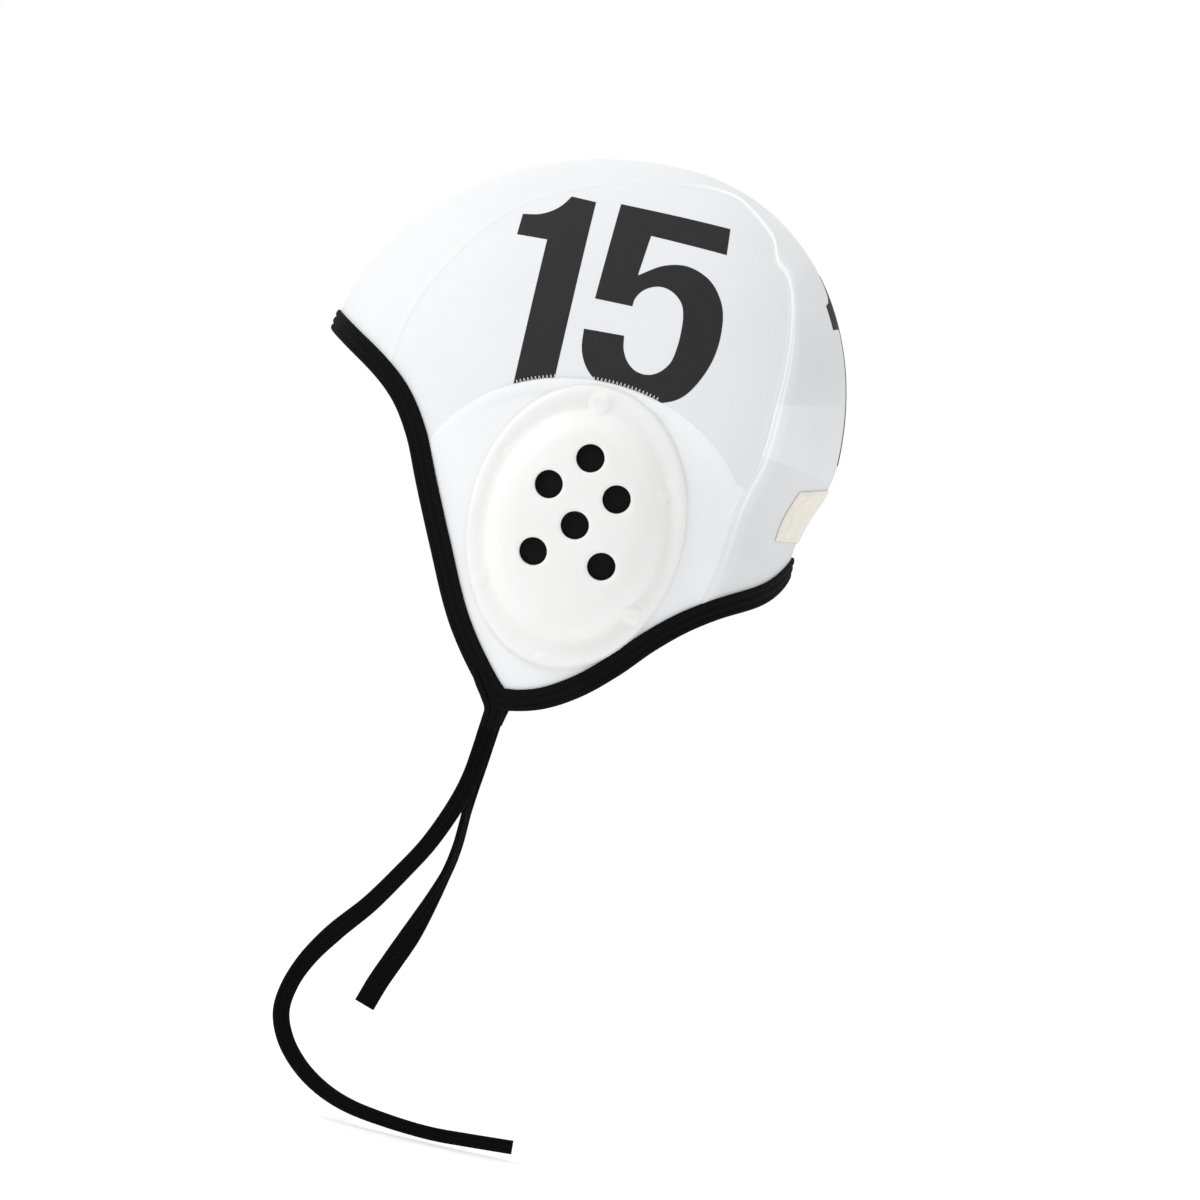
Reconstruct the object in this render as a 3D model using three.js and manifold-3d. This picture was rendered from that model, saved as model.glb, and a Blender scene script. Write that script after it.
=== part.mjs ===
// Water polo cap for an adult head, in the form it has when worn.
// Frame: millimetres, +Z up, the wearer looks along -Y and the wearer's left is +X.
// The origin is where the crown of the head meets the inner face of the cap.

import * as THREE from 'three';
import Module from 'manifold-3d';
import { mergeVertices } from 'three/addons/utils/BufferGeometryUtils.js';

const wasm = await Module();
wasm.setup();

// Form of the head, measured from the hub between the temples
const capWidth = 154;
const frontReach = 114;
const backReach = 82.5;
const crownRise = 96.6;
const skirtReach = 160;
const sideFullness = 2.4;
const backFullness = 2.1;
const napeTuck = { depth: 0.085, turn: -24, spread: 26 };

// Cloth, seams and clearances
const fabric = 1.6;
const seamGap = 0.35;
const clearance = 0.4;

// Tape folded over the rim
const tapeWidth = 8.2;
const tapeThickness = 1.1;
const hemInset = 1.6;
const foldInset = 0.5;
const foldDrop = 0.2;
const tipMargin = 1.15;

// Ear panel and the moulded guard on it
const earForward = 7.8;
const earDrop = 43.6;
const earPanelReach = 62.5;
const earPanelRise = 52;
const guardReach = 39;
const guardUp = 50.8;
const guardDown = 52.6;
const guardRise = 9.6;
const guardWall = 2;
const guardOpening = 0.7;
const holeDiameter = 10.2;
const holePitch = 12;
const lugDiameter = 9;
const lugRise = 3.4;
const lugCircle = 0.86;
const lugFoot = 0.3;
const guardEdge = 0.6;

// Dark mesh behind the holes of each guard
const meshThickness = 1.2;
const meshReach = 0.64;

// Sewn label on the back of the strip
const labelWidth = 89.5;
const labelTopTurn = -10;
const labelBottomTurn = -24.5;
const labelThickness = 0.5;

// Ties
const tieWidth = 6.6;
const tieThickness = 2.4;
const shortTieWidth = 8;

// Seam between the centre strip and the side panels, as a share of half the cap's width
const seamRows = [
  { turn: 190, share: 0.74 },
  { turn: 167, share: 0.745 },
  { turn: 150, share: 0.73 },
  { turn: 130, share: 0.67 },
  { turn: 105, share: 0.61 },
  { turn: 88, share: 0.545 },
  { turn: 74, share: 0.47 },
  { turn: 65, share: 0.475 },
  { turn: 57, share: 0.57 },
  { turn: 48, share: 0.635 },
  { turn: 30, share: 0.75 },
  { turn: 15, share: 0.815 },
  { turn: -8, share: 0.84 },
  { turn: -60, share: 0.83 },
];

// Folded edge of the rim from the middle of the forehead to the flap's tip: turns in degrees and
// distances from the middle plane as shares of half the cap's width
const frontRimRows = [
  { turn: 176, share: 0 },
  { turn: 176.7, share: 0.257 },
  { turn: 179, share: 0.484 },
  { turn: 183.9, share: 0.676 },
  { turn: 190, share: 0.765 },
  { turn: 199, share: 0.812 },
  { turn: 211, share: 0.833 },
  { turn: 228, share: 0.839 },
  { turn: 244, share: 0.81 },
  { turn: 259, share: 0.748 },
];

// Folded edge of the rim from the flap's tip to the middle of the nape
const backRimRows = [
  { turn: 259, share: 0.748 },
  { turn: 267, share: 0.793 },
  { turn: 274, share: 0.827 },
  { turn: 282, share: 0.847 },
  { turn: 291, share: 0.847 },
  { turn: 301, share: 0.812 },
  { turn: 311, share: 0.728 },
  { turn: 320.5, share: 0.524 },
  { turn: 327, share: 0.248 },
  { turn: 328.8, share: 0 },
];

// Guard's outer face from its middle to its edge: reach and rise are shares of the guard's own
const guardRows = [
  { reach: 0, rise: 1 },
  { reach: 0.36, rise: 0.95 },
  { reach: 0.6, rise: 0.74 },
  { reach: 0.7, rise: 0.47 },
  { reach: 0.775, rise: 0.22 },
  { reach: 0.84, rise: 0.2 },
  { reach: 0.9, rise: 0.29 },
  { reach: 0.97, rise: 0.27 },
  { reach: 1, rise: 0.14 },
];

// Holes of the guard, in pitches from its middle
const holeRows = [
  { along: 0, up: 2 },
  { along: -1, up: 1 },
  { along: 1, up: 1 },
  { along: 0, up: 0 },
  { along: -1, up: -1 },
  { along: 1, up: -1 },
];

// Turns of the six lugs round the guard's middle, in degrees
const lugTurns = [35, 92, 144, 218, 270, 322];

// Route of each tie from under its flap's tip, in millimetres
const leftTieRoute = [
  [57.5, -22.1, -211.5], [57.2, -22.8, -219.5], [57, -23.5, -227.5], [56.5, -24.5, -235.5],
  [56, -26.5, -243], [55, -30, -253], [54.5, -35, -264.5], [54, -41.5, -276], [53, -50.5, -289.5],
  [52.5, -61, -302.5], [52, -68.5, -314.5], [51.5, -72.5, -325.5], [51, -73, -335.5],
  [50.5, -69, -345], [50, -61.5, -353.5], [49.5, -52.5, -359.5], [49, -42, -363.5],
  [48.5, -26, -366], [48, -9.5, -367], [47, 4, -366.5], [46.5, 20.5, -365.5],
];
const rightTieRoute = [
  [-57.5, -22.1, -211.5], [-57.5, -23.2, -220], [-57.5, -24.2, -230], [-57.5, -25, -240],
  [-57.5, -25.5, -250], [-57.5, -25.6, -260], [-57.5, -26, -269.5], [-57.5, -27, -278.5],
  [-57.5, -28.5, -288], [-57.5, -30.8, -297.5], [-57.5, -34, -308], [-57.5, -37.5, -317.5],
  [-57.5, -42, -328], [-57.5, -47, -338.5],
];

// Counts of facets
const seamSteps = 24;
const napeSteps = 5;
const stripColumns = 14;
const sideColumns = 5;
const earColumns = 3;
const frontEdgeSteps = 13;
const backEdgeSteps = 10;
const frontTapeSteps = 44;
const backTapeSteps = 30;
const guardSteps = 28;
const lugSides = 8;
const holeSides = 10;
const meshSteps = 14;
const labelColumns = 12;
const labelRows = 2;
const tieSides = 8;
const leftTieSteps = 32;
const rightTieSteps = 16;

// Limits of the searches for the panels' corners: shares of a rim, then degrees round the ear
const seamShares = [0.02, 0.5];
const frontCornerShares = [0.2, 0.45];
const earCornerAngles = [80, 5];

// Fineness of the searches, of slopes and of joined corners
const halvings = 40;
const slopeStep = 0.02;
const weld = 1e-4;

const half = capWidth / 2;
const hub = new THREE.Vector3(0, 0, fabric - crownRise);
const ear = { y: hub.y - earForward, z: hub.z - earDrop };
const degree = Math.PI / 180;

const mix = THREE.MathUtils.lerp;

// Distance from the hub to the outline of the cap in the side view
function reachAt(turn) {
  const along = Math.cos(turn * degree);
  const up = Math.sin(turn * degree);
  const reach = along < 0 ? frontReach : backReach;
  const rise = up > 0 ? crownRise : skirtReach;
  const fullness = along > 0 && up > 0 ? backFullness : 2;
  const plain = (Math.abs(along / reach) ** fullness + Math.abs(up / rise) ** fullness) ** (-1 / fullness);
  const away = Math.abs(((turn - napeTuck.turn + 540) % 360) - 180) / napeTuck.spread;
  const tuck = away < 1 ? napeTuck.depth * Math.cos(away * Math.PI / 2) ** 2 : 0;
  return plain * (1 - tuck);
}

// Turn of a point round the hub, from the back over the crown, in degrees from -90 to 270
function turnOf(point) {
  const turn = Math.atan2(point.z - hub.z, point.y - hub.y) / degree;
  return turn < -90 ? turn + 360 : turn;
}

// 1 on the outer face of the cloth, less inside it
function levelAt(point) {
  const inPlane = Math.hypot(point.y - hub.y, point.z - hub.z) / reachAt(turnOf(point));
  return Math.abs(point.x / half) ** sideFullness + inPlane ** sideFullness;
}

// Point of the outer face in line with the hub and the given point
function onSkin(point) {
  const scale = levelAt(point) ** (-1 / sideFullness);
  return point.clone().sub(hub).multiplyScalar(scale).add(hub);
}

// Point of the outer face from its turn and lean
function skinAt(turn, lean) {
  const inPlane = Math.cos(lean * degree);
  const point = new THREE.Vector3(
    Math.sin(lean * degree),
    hub.y + inPlane * Math.cos(turn * degree),
    hub.z + inPlane * Math.sin(turn * degree));
  return onSkin(point);
}

// Point of the outer face from its turn and its distance to the middle plane
function skinAcross(turn, x) {
  const reach = reachAt(turn) * (1 - Math.abs(x / half) ** sideFullness) ** (1 / sideFullness);
  const y = hub.y + reach * Math.cos(turn * degree);
  const z = hub.z + reach * Math.sin(turn * degree);
  return new THREE.Vector3(x, y, z);
}

// Point of the outer face on the wearer's left from its place in the side view
function skinBeside(y, z) {
  const flat = new THREE.Vector3(0, y, z);
  const x = half * Math.max(1 - levelAt(flat), 0) ** (1 / sideFullness);
  return new THREE.Vector3(x, y, z);
}

// Outward direction of the cloth at a point
function normalAt(point) {
  const slope = (axis) => {
    const ahead = point.clone().addScaledVector(axis, slopeStep);
    const behind = point.clone().addScaledVector(axis, -slopeStep);
    return levelAt(ahead) - levelAt(behind);
  };
  const axes = [[1, 0, 0], [0, 1, 0], [0, 0, 1]].map((row) => new THREE.Vector3(...row));
  return new THREE.Vector3(...axes.map(slope)).normalize();
}

function raised(point, height) {
  return point.clone().addScaledVector(normalAt(point), height);
}

// Smooth value of one column of a table at a turn, with the rows in falling order of turn
function columnAt(rows, column, turn) {
  const slopeAt = (index) => {
    const before = rows[Math.max(index - 1, 0)];
    const after = rows[Math.min(index + 1, rows.length - 1)];
    return (after[column] - before[column]) / (after.turn - before.turn);
  };
  let index = 0;
  while (index < rows.length - 2 && turn < rows[index + 1].turn) index += 1;
  const [from, to] = [rows[index], rows[index + 1]];
  const span = to.turn - from.turn;
  const s = THREE.MathUtils.clamp((turn - from.turn) / span, 0, 1);
  const fromShare = 2 * s ** 3 - 3 * s ** 2 + 1;
  const fromSlope = (s ** 3 - 2 * s ** 2 + s) * span * slopeAt(index);
  const toSlope = (s ** 3 - s ** 2) * span * slopeAt(index + 1);
  return fromShare * from[column] + fromSlope + (1 - fromShare) * to[column] + toSlope;
}

// Line of the seam on the wearer's left, moved sideways by a clearance
function seamAt(turn, shift = 0) {
  return skinAcross(turn, columnAt(seamRows, 'share', turn) * half + shift);
}

// Value between two limits where a test changes sign, found by halving
function crossing(test, limits) {
  let [near, far] = limits;
  const sign = Math.sign(test(near));
  for (let round = 0; round < halvings; round += 1) {
    const middle = (near + far) / 2;
    if (Math.sign(test(middle)) === sign) near = middle;
    else far = middle;
  }
  return (near + far) / 2;
}

// Rim from the wearer's left tip round to the right tip, as a curve on the outer face
function rimCurve(rows) {
  const tipFirst = rows[0].share === 0 ? [...rows].reverse() : rows;
  const left = tipFirst.map((row) => skinAcross(row.turn, row.share * half));
  const right = left.slice(0, -1).reverse().map((point) => point.clone().setX(-point.x));
  return new THREE.CatmullRomCurve3([...left, ...right], false, 'centripetal');
}

// Direction on the cloth square to the rim, towards the cloth's middle
function inwardAt(curve, share, towards) {
  const point = curve.getPointAt(share);
  const inward = new THREE.Vector3().crossVectors(curve.getTangentAt(share), normalAt(point)).normalize();
  return inward.multiplyScalar(towards);
}

const frontRim = { curve: rimCurve(frontRimRows), towards: 1 };
const backRim = { curve: rimCurve(backRimRows), towards: -1 };

// Direction that keeps both tapes equally wide where they meet at a flap's tip
function mitreAt(share) {
  const front = inwardAt(frontRim.curve, share, frontRim.towards);
  const back = inwardAt(backRim.curve, share, backRim.towards);
  const sum = front.clone().add(back);
  return sum.divideScalar(1 + front.dot(back));
}

// Point of the outer face at a distance in from the folded edge
function insetAt(rim, share, distance) {
  const atTip = share === 0 || share === 1;
  const direction = atTip ? mitreAt(share) : inwardAt(rim.curve, share, rim.towards);
  return onSkin(rim.curve.getPointAt(share).addScaledVector(direction, distance));
}

const hemAt = (rim, share) => insetAt(rim, share, hemInset);

// Share of a rim, on the wearer's left half, where its hem crosses the seam
function hemSeamShare(rim, shift) {
  const beyond = (share) => {
    const hem = hemAt(rim, share);
    return hem.x - seamAt(turnOf(hem), shift).x;
  };
  return crossing(beyond, seamShares);
}

// Point of the ear panel's upper edge at an angle round the ear
function earEdgeAt(angle, shrink = 0) {
  const y = ear.y + (earPanelReach - shrink) * Math.cos(angle * degree);
  const z = ear.z + (earPanelRise - shrink) * Math.sin(angle * degree);
  return skinBeside(y, z);
}

// Makes one closed body, with its faces pointing out, from points and triangles
function closedBody(points, triangles) {
  const raw = new THREE.BufferGeometry().setFromPoints(points);
  raw.setIndex(triangles);
  const merged = mergeVertices(raw, weld);
  const position = merged.getAttribute('position');
  const corner = (index) => new THREE.Vector3().fromBufferAttribute(position, index);
  const kept = [];
  let volume = 0;
  for (let start = 0; start < merged.index.count; start += 3) {
    const [a, b, c] = [0, 1, 2].map((step) => merged.index.getX(start + step));
    if (a === b || b === c || c === a) continue;
    kept.push([a, b, c]);
    volume += corner(a).dot(corner(b).cross(corner(c)));
  }
  merged.setIndex(kept.map(([a, b, c]) => (volume > 0 ? [a, b, c] : [a, c, b])).flat());
  return merged;
}

// Two triangles for four corners, split along the shorter diagonal
function quad(points, a, b, c, d) {
  const across = points[a].distanceTo(points[c]) > points[b].distanceTo(points[d]);
  return across ? [a, b, d, b, c, d] : [a, b, c, a, c, d];
}

// Closes the wall between an outer and an inner grid of points, rows round and columns across
function wallBetween(outer, inner, ring = false) {
  const [rows, columns] = [outer.length, outer[0].length];
  const points = [...outer.flat(), ...inner.flat()];
  const at = (side, row, column) => (side * rows + (row % rows)) * columns + column;
  const triangles = [];
  const rim = (from, to) => {
    triangles.push(...quad(points, at(0, ...from), at(0, ...to), at(1, ...to), at(1, ...from)));
  };
  const lastRow = ring ? rows : rows - 1;
  for (let row = 0; row < lastRow; row += 1) {
    for (let column = 0; column < columns - 1; column += 1) {
      const corners = [[row, column], [row + 1, column], [row + 1, column + 1], [row, column + 1]];
      triangles.push(...quad(points, ...corners.map(([r, c]) => at(0, r, c))));
      triangles.push(...quad(points, ...corners.reverse().map(([r, c]) => at(1, r, c))));
    }
    rim([row + 1, 0], [row, 0]);
    rim([row, columns - 1], [row + 1, columns - 1]);
  }
  for (let column = 0; !ring && column < columns - 1; column += 1) {
    rim([0, column], [0, column + 1]);
    rim([rows - 1, column + 1], [rows - 1, column]);
  }
  return closedBody(points, triangles);
}

// Cloth of the cap's own thickness under a grid of points of its outer face
function clothUnder(grid, ring = false) {
  const inner = grid.map((row) => row.map((point) => raised(point, -fabric)));
  return wallBetween(grid, inner, ring);
}

// Joins matching cross-sections, each a loop of points, and closes both ends
function loftBody(sections, profile) {
  const count = profile.length;
  const points = sections.flat();
  const triangles = [];
  for (let row = 0; row < sections.length - 1; row += 1) {
    for (let index = 0; index < count; index += 1) {
      const next = (index + 1) % count;
      const [here, ahead] = [row * count, (row + 1) * count];
      triangles.push(...quad(points, here + index, ahead + index, ahead + next, here + next));
    }
  }
  const last = (sections.length - 1) * count;
  for (const [a, b, c] of THREE.ShapeUtils.triangulateShape(profile, [])) {
    triangles.push(a, b, c, last + c, last + b, last + a);
  }
  return closedBody(points, triangles);
}

function mirrored(geometry) {
  const copy = geometry.clone();
  const position = copy.getAttribute('position');
  const points = Array.from({ length: position.count }, (_, index) => (
    new THREE.Vector3(-position.getX(index), position.getY(index), position.getZ(index))));
  return closedBody(points, Array.from(copy.index.array));
}

function toManifold(geometry) {
  const bare = geometry.clone();
  bare.deleteAttribute('normal');
  bare.deleteAttribute('uv');
  const merged = mergeVertices(bare, weld);
  const vertProperties = new Float32Array(merged.getAttribute('position').array);
  const triVerts = new Uint32Array(merged.index.array);
  return new wasm.Manifold(new wasm.Mesh({ numProp: 3, vertProperties, triVerts }));
}

function fromManifold(solid) {
  const mesh = solid.getMesh();
  const geometry = new THREE.BufferGeometry();
  geometry.setAttribute('position', new THREE.BufferAttribute(new Float32Array(mesh.vertProperties), 3));
  geometry.setIndex(new THREE.BufferAttribute(new Uint32Array(mesh.triVerts), 1));
  return geometry;
}

// Turns of the seam's stations: from the forehead to the ear panel's corner, then to the nape
const earCornerAngle = crossing((angle) => {
  const edge = earEdgeAt(angle);
  return edge.x - seamAt(turnOf(edge), 2 * seamGap).x - hemInset;
}, earCornerAngles);
const cornerTurn = turnOf(earEdgeAt(earCornerAngle));
const frontSeamTurn = turnOf(hemAt(frontRim, hemSeamShare(frontRim, 0)));
const backSeamTurn = turnOf(hemAt(backRim, hemSeamShare(backRim, 0)));

function seamTurns() {
  const turns = [];
  for (let step = 0; step < seamSteps; step += 1) {
    turns.push(mix(frontSeamTurn, cornerTurn, step / seamSteps));
  }
  for (let step = 0; step <= napeSteps; step += 1) {
    turns.push(mix(cornerTurn, backSeamTurn, step / napeSteps));
  }
  return turns;
}

// Hem between the strip's two seams, from the wearer's left to the right
function stripHem(rim, across) {
  const share = hemSeamShare(rim, 0);
  return hemAt(rim, mix(share, 1 - share, across));
}

// Patch of the outer face between four edges, with bottom and top given row by row
function patchGrid(bottom, top, start, end, columns) {
  const last = bottom.length - 1;
  const straight = (row, across) => bottom[row].clone().lerp(top[row], across);
  return bottom.map((_, row) => Array.from({ length: columns + 1 }, (_cell, column) => {
    const across = column / columns;
    const point = straight(row, across);
    point.addScaledVector(start(across).sub(straight(0, across)), 1 - row / last);
    point.addScaledVector(end(across).sub(straight(last, across)), row / last);
    return onSkin(point);
  }));
}

function crownStrip() {
  const left = seamTurns().map((turn) => seamAt(turn));
  const right = left.map((point) => point.clone().setX(-point.x));
  const front = (across) => stripHem(frontRim, across);
  const back = (across) => stripHem(backRim, across);
  return clothUnder(patchGrid(left, right, front, back, stripColumns));
}

// Where the ear panel's upper edge, drawn in by a distance, meets the front hem
function frontCorner(shrink) {
  const [reach, rise] = [earPanelReach - shrink, earPanelRise - shrink];
  const beyond = (share) => {
    const hem = hemAt(frontRim, share);
    return Math.hypot((hem.y - ear.y) / reach, (hem.z - ear.z) / rise) - 1;
  };
  const share = crossing(beyond, frontCornerShares);
  const hem = hemAt(frontRim, share);
  const angle = Math.atan2((hem.z - ear.z) / rise, (hem.y - ear.y) / reach) / degree;
  return { share, angle };
}

function sidePanel() {
  const top = seamTurns().slice(0, seamSteps + 1).map((turn) => seamAt(turn, seamGap));
  const corner = frontCorner(0);
  const bottom = top.map((_, row) => earEdgeAt(mix(corner.angle, earCornerAngle, row / seamSteps)));
  const seamShare = hemSeamShare(frontRim, seamGap);
  const front = (across) => hemAt(frontRim, mix(corner.share, seamShare, across));
  const back = (across) => bottom.at(-1).clone().lerp(top.at(-1), across);
  return clothUnder(patchGrid(bottom, top, front, back, sideColumns));
}

// Outline of the guard in the side view, at a share of its reach
function guardOutline(angle, share) {
  const rise = Math.sin(angle) > 0 ? guardUp : guardDown;
  return { y: ear.y + share * guardReach * Math.cos(angle), z: ear.z + share * rise * Math.sin(angle) };
}

// Edge of the ear panel, once round from the forehead side by the flap's tip and the nape side
function earPanelEdge() {
  const corner = frontCorner(seamGap);
  const backShare = hemSeamShare(backRim, seamGap);
  const edge = [];
  for (let step = 0; step < frontEdgeSteps; step += 1) {
    edge.push(hemAt(frontRim, mix(corner.share, 0, step / frontEdgeSteps)));
  }
  for (let step = 0; step < backEdgeSteps; step += 1) {
    edge.push(hemAt(backRim, mix(0, backShare, step / backEdgeSteps)));
  }
  for (let step = 0; step < napeSteps; step += 1) {
    edge.push(seamAt(mix(backSeamTurn, cornerTurn, step / napeSteps), seamGap));
  }
  for (let step = 0; step < seamSteps; step += 1) {
    edge.push(earEdgeAt(mix(earCornerAngle, corner.angle, step / seamSteps), seamGap));
  }
  return edge;
}

function earPanel() {
  const grid = earPanelEdge().map((point) => {
    const angle = Math.atan2(point.z - ear.z, point.y - ear.y);
    const rise = point.z > ear.z ? guardUp : guardDown;
    const round = Math.atan2(Math.sin(angle) / rise, Math.cos(angle) / guardReach);
    const inner = guardOutline(round, guardOpening);
    return Array.from({ length: earColumns + 1 }, (_, column) => {
      const share = column / earColumns;
      return skinBeside(mix(point.y, inner.y, share), mix(point.z, inner.z, share));
    });
  });
  return clothUnder(grid, true);
}

// Heights of the guard's two faces over the cloth's outer face at one row of its table
function guardHeights(row) {
  const outer = Math.max(row.rise * guardRise, clearance + guardEdge);
  const overCloth = row.reach > guardOpening;
  const inner = overCloth ? clearance : Math.max(outer - guardWall, clearance);
  return { outer, inner };
}

function guardShell() {
  const angles = Array.from({ length: guardSteps }, (_, step) => 2 * Math.PI * step / guardSteps);
  const face = (side) => angles.map((angle) => guardRows.map((row) => {
    const place = guardOutline(angle, row.reach);
    return raised(skinBeside(place.y, place.z), guardHeights(row)[side]);
  }));
  return wallBetween(face('outer'), face('inner'), true);
}

// Round post standing square on the cloth, between two heights over it
function postAt(place, diameter, from, to, sides) {
  const foot = skinBeside(place.y, place.z);
  const post = new THREE.CylinderGeometry(diameter / 2, diameter / 2, to - from, sides);
  const up = new THREE.Vector3(0, 1, 0);
  post.applyQuaternion(new THREE.Quaternion().setFromUnitVectors(up, normalAt(foot)));
  const middle = raised(foot, (from + to) / 2);
  post.translate(middle.x, middle.y, middle.z);
  return toManifold(post);
}

function earGuard() {
  let solid = toManifold(guardShell());
  for (const turn of lugTurns) {
    const place = guardOutline(turn * degree, lugCircle);
    solid = solid.add(postAt(place, lugDiameter, clearance + lugFoot, lugRise, lugSides));
  }
  for (const row of holeRows) {
    const place = { y: ear.y + row.along * holePitch, z: ear.z + row.up * holePitch };
    solid = solid.subtract(postAt(place, holeDiameter, -guardRise, 2 * guardRise, holeSides));
  }
  return fromManifold(solid);
}

// Height of the guard's inner face over the cloth at a share of its reach
function guardInnerAt(share) {
  const index = guardRows.findIndex((row) => row.reach >= share);
  const [before, after] = [guardRows[Math.max(index - 1, 0)], guardRows[index]];
  const span = after.reach - before.reach || 1;
  return mix(guardHeights(before).inner, guardHeights(after).inner, (share - before.reach) / span);
}

function earMesh() {
  const shares = [0, 0.5, 1].map((share) => share * meshReach);
  const angles = Array.from({ length: meshSteps }, (_, step) => 2 * Math.PI * step / meshSteps);
  const face = (depth) => angles.map((angle) => shares.map((share) => {
    const place = guardOutline(angle, share);
    return raised(skinBeside(place.y, place.z), guardInnerAt(share) - clearance - depth);
  }));
  return wallBetween(face(0), face(meshThickness), true);
}

// Section of the folded tape: distance in from the fold, and height over the cloth's outer face
function tapeProfile() {
  const over = clearance + tapeThickness;
  const under = fabric + clearance;
  const inside = under + tapeThickness;
  const slot = hemInset - clearance;
  const rows = [
    [tapeWidth, over], [tapeWidth / 2, over], [foldInset, over - foldDrop],
    [0, -fabric / 2], [foldInset, foldDrop - inside], [tapeWidth / 2, -inside], [tapeWidth, -inside],
    [tapeWidth, -under], [tapeWidth / 2, -under], [slot, -under],
    [slot, clearance], [tapeWidth / 2, clearance], [tapeWidth, clearance],
  ];
  return rows.map(([distance, height]) => new THREE.Vector2(distance, height));
}

function rimTape(rim, steps) {
  const profile = tapeProfile();
  const length = rim.curve.getLength();
  const margin = tipMargin * tapeWidth / length;
  const shares = Array.from({ length: steps + 1 }, (_, step) => mix(margin, 1 - margin, step / steps));
  const stations = [0, ...shares, 1];
  const sections = stations.map((share) => profile.map((spot) => {
    const point = raised(insetAt(rim, share, spot.x), spot.y);
    if (share === 0) point.addScaledVector(rim.curve.getTangentAt(0), seamGap / 2);
    if (share === 1) point.addScaledVector(rim.curve.getTangentAt(1), -seamGap / 2);
    return point;
  }));
  return loftBody(sections, profile);
}

function backLabel() {
  const face = (height) => Array.from({ length: labelColumns + 1 }, (_, column) => (
    Array.from({ length: labelRows + 1 }, (_cell, row) => {
      const turn = mix(labelTopTurn, labelBottomTurn, row / labelRows);
      const x = mix(labelWidth / 2, -labelWidth / 2, column / labelColumns);
      return raised(skinAcross(turn, x), height);
    })));
  return wallBetween(face(clearance + labelThickness), face(clearance));
}

// Flat tape along a route
function tieBody(route, width, steps) {
  const path = new THREE.CatmullRomCurve3(route.map((row) => new THREE.Vector3(...row)));
  const section = new THREE.Shape(Array.from({ length: tieSides }, (_, side) => {
    const angle = (side + 0.5) * 2 * Math.PI / tieSides;
    return new THREE.Vector2(Math.cos(angle) * tieThickness / 2, Math.sin(angle) * width / 2);
  }));
  return new THREE.ExtrudeGeometry(section, { steps, extrudePath: path, bevelEnabled: false });
}

const cloth = { color: 0xf3f4f5, roughness: 0.7, metalness: 0 };
const panelCloth = { color: 0xe6e8ec, roughness: 0.7, metalness: 0 };
const plastic = { color: 0xf7f7f5, roughness: 0.45, metalness: 0 };
const blackTape = { color: 0x141416, roughness: 0.8, metalness: 0 };
const darkMesh = { color: 0x0c0c0d, roughness: 0.9, metalness: 0 };
const cream = { color: 0xf2ecd8, roughness: 0.7, metalness: 0 };

const cap = new THREE.Group();

function addPiece(name, geometry, finish) {
  const mesh = new THREE.Mesh(geometry, new THREE.MeshStandardMaterial(finish));
  mesh.name = name;
  cap.add(mesh);
}

function addPair(name, geometry, finish) {
  addPiece(`${name}_left`, geometry, finish);
  addPiece(`${name}_right`, mirrored(geometry), finish);
}

addPiece('crown_strip', crownStrip(), cloth);
addPair('side_panel', sidePanel(), panelCloth);
addPair('ear_panel', earPanel(), cloth);
addPair('ear_guard', earGuard(), plastic);
addPair('ear_mesh', earMesh(), darkMesh);
addPiece('front_binding', rimTape(frontRim, frontTapeSteps), blackTape);
addPiece('back_binding', rimTape(backRim, backTapeSteps), blackTape);
addPiece('back_label', backLabel(), cream);
addPiece('tie_left', tieBody(leftTieRoute, tieWidth, leftTieSteps), blackTape);
addPiece('tie_right', tieBody(rightTieRoute, shortTieWidth, rightTieSteps), blackTape);

export default cap;
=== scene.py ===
import math

import bmesh
import bpy
import numpy as np
from mathutils import Matrix, Vector


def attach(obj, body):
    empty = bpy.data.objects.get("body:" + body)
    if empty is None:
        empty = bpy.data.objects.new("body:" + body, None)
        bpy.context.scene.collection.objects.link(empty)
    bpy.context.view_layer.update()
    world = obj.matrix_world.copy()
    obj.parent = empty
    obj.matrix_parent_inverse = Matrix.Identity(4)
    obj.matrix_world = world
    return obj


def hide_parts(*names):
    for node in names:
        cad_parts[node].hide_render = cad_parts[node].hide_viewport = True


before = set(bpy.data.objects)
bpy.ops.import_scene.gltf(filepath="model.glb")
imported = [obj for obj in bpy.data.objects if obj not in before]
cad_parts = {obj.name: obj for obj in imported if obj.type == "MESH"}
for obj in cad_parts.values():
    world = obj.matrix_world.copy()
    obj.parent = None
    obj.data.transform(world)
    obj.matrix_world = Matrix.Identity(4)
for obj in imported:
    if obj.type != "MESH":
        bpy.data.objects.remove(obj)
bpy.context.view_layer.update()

# Camera: it looks at the wearer's left side, and its roll is the turn of the cap in the photograph
CAMERA_AT = Vector((1.5, 0.0067, -0.1632))
CAMERA_ROLL = math.radians(13)
SENSOR = 36.0
# Focal length as a share of the picture's width
CAMERA_FOCAL = 3975 / 1200


def new_object(name, data):
    """Object that shows this data, linked into the scene."""
    made = bpy.data.objects.new(name, data)
    bpy.context.scene.collection.objects.link(made)
    return made


camera_data = bpy.data.cameras.new("camera")
camera_data.sensor_fit = "HORIZONTAL"
camera_data.sensor_width = SENSOR
camera_data.lens = SENSOR * CAMERA_FOCAL
camera_data.clip_start = 0.05
camera_data.clip_end = 20.0
camera = new_object("camera", camera_data)
right = Vector((0, math.cos(CAMERA_ROLL), math.sin(CAMERA_ROLL)))
up = Vector((0, -math.sin(CAMERA_ROLL), math.cos(CAMERA_ROLL)))
back = Vector((1, 0, 0))
camera_turn = Matrix((right, up, back)).transposed().to_4x4()
camera.matrix_world = Matrix.Translation(CAMERA_AT) @ camera_turn
bpy.context.scene.camera = camera

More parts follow.
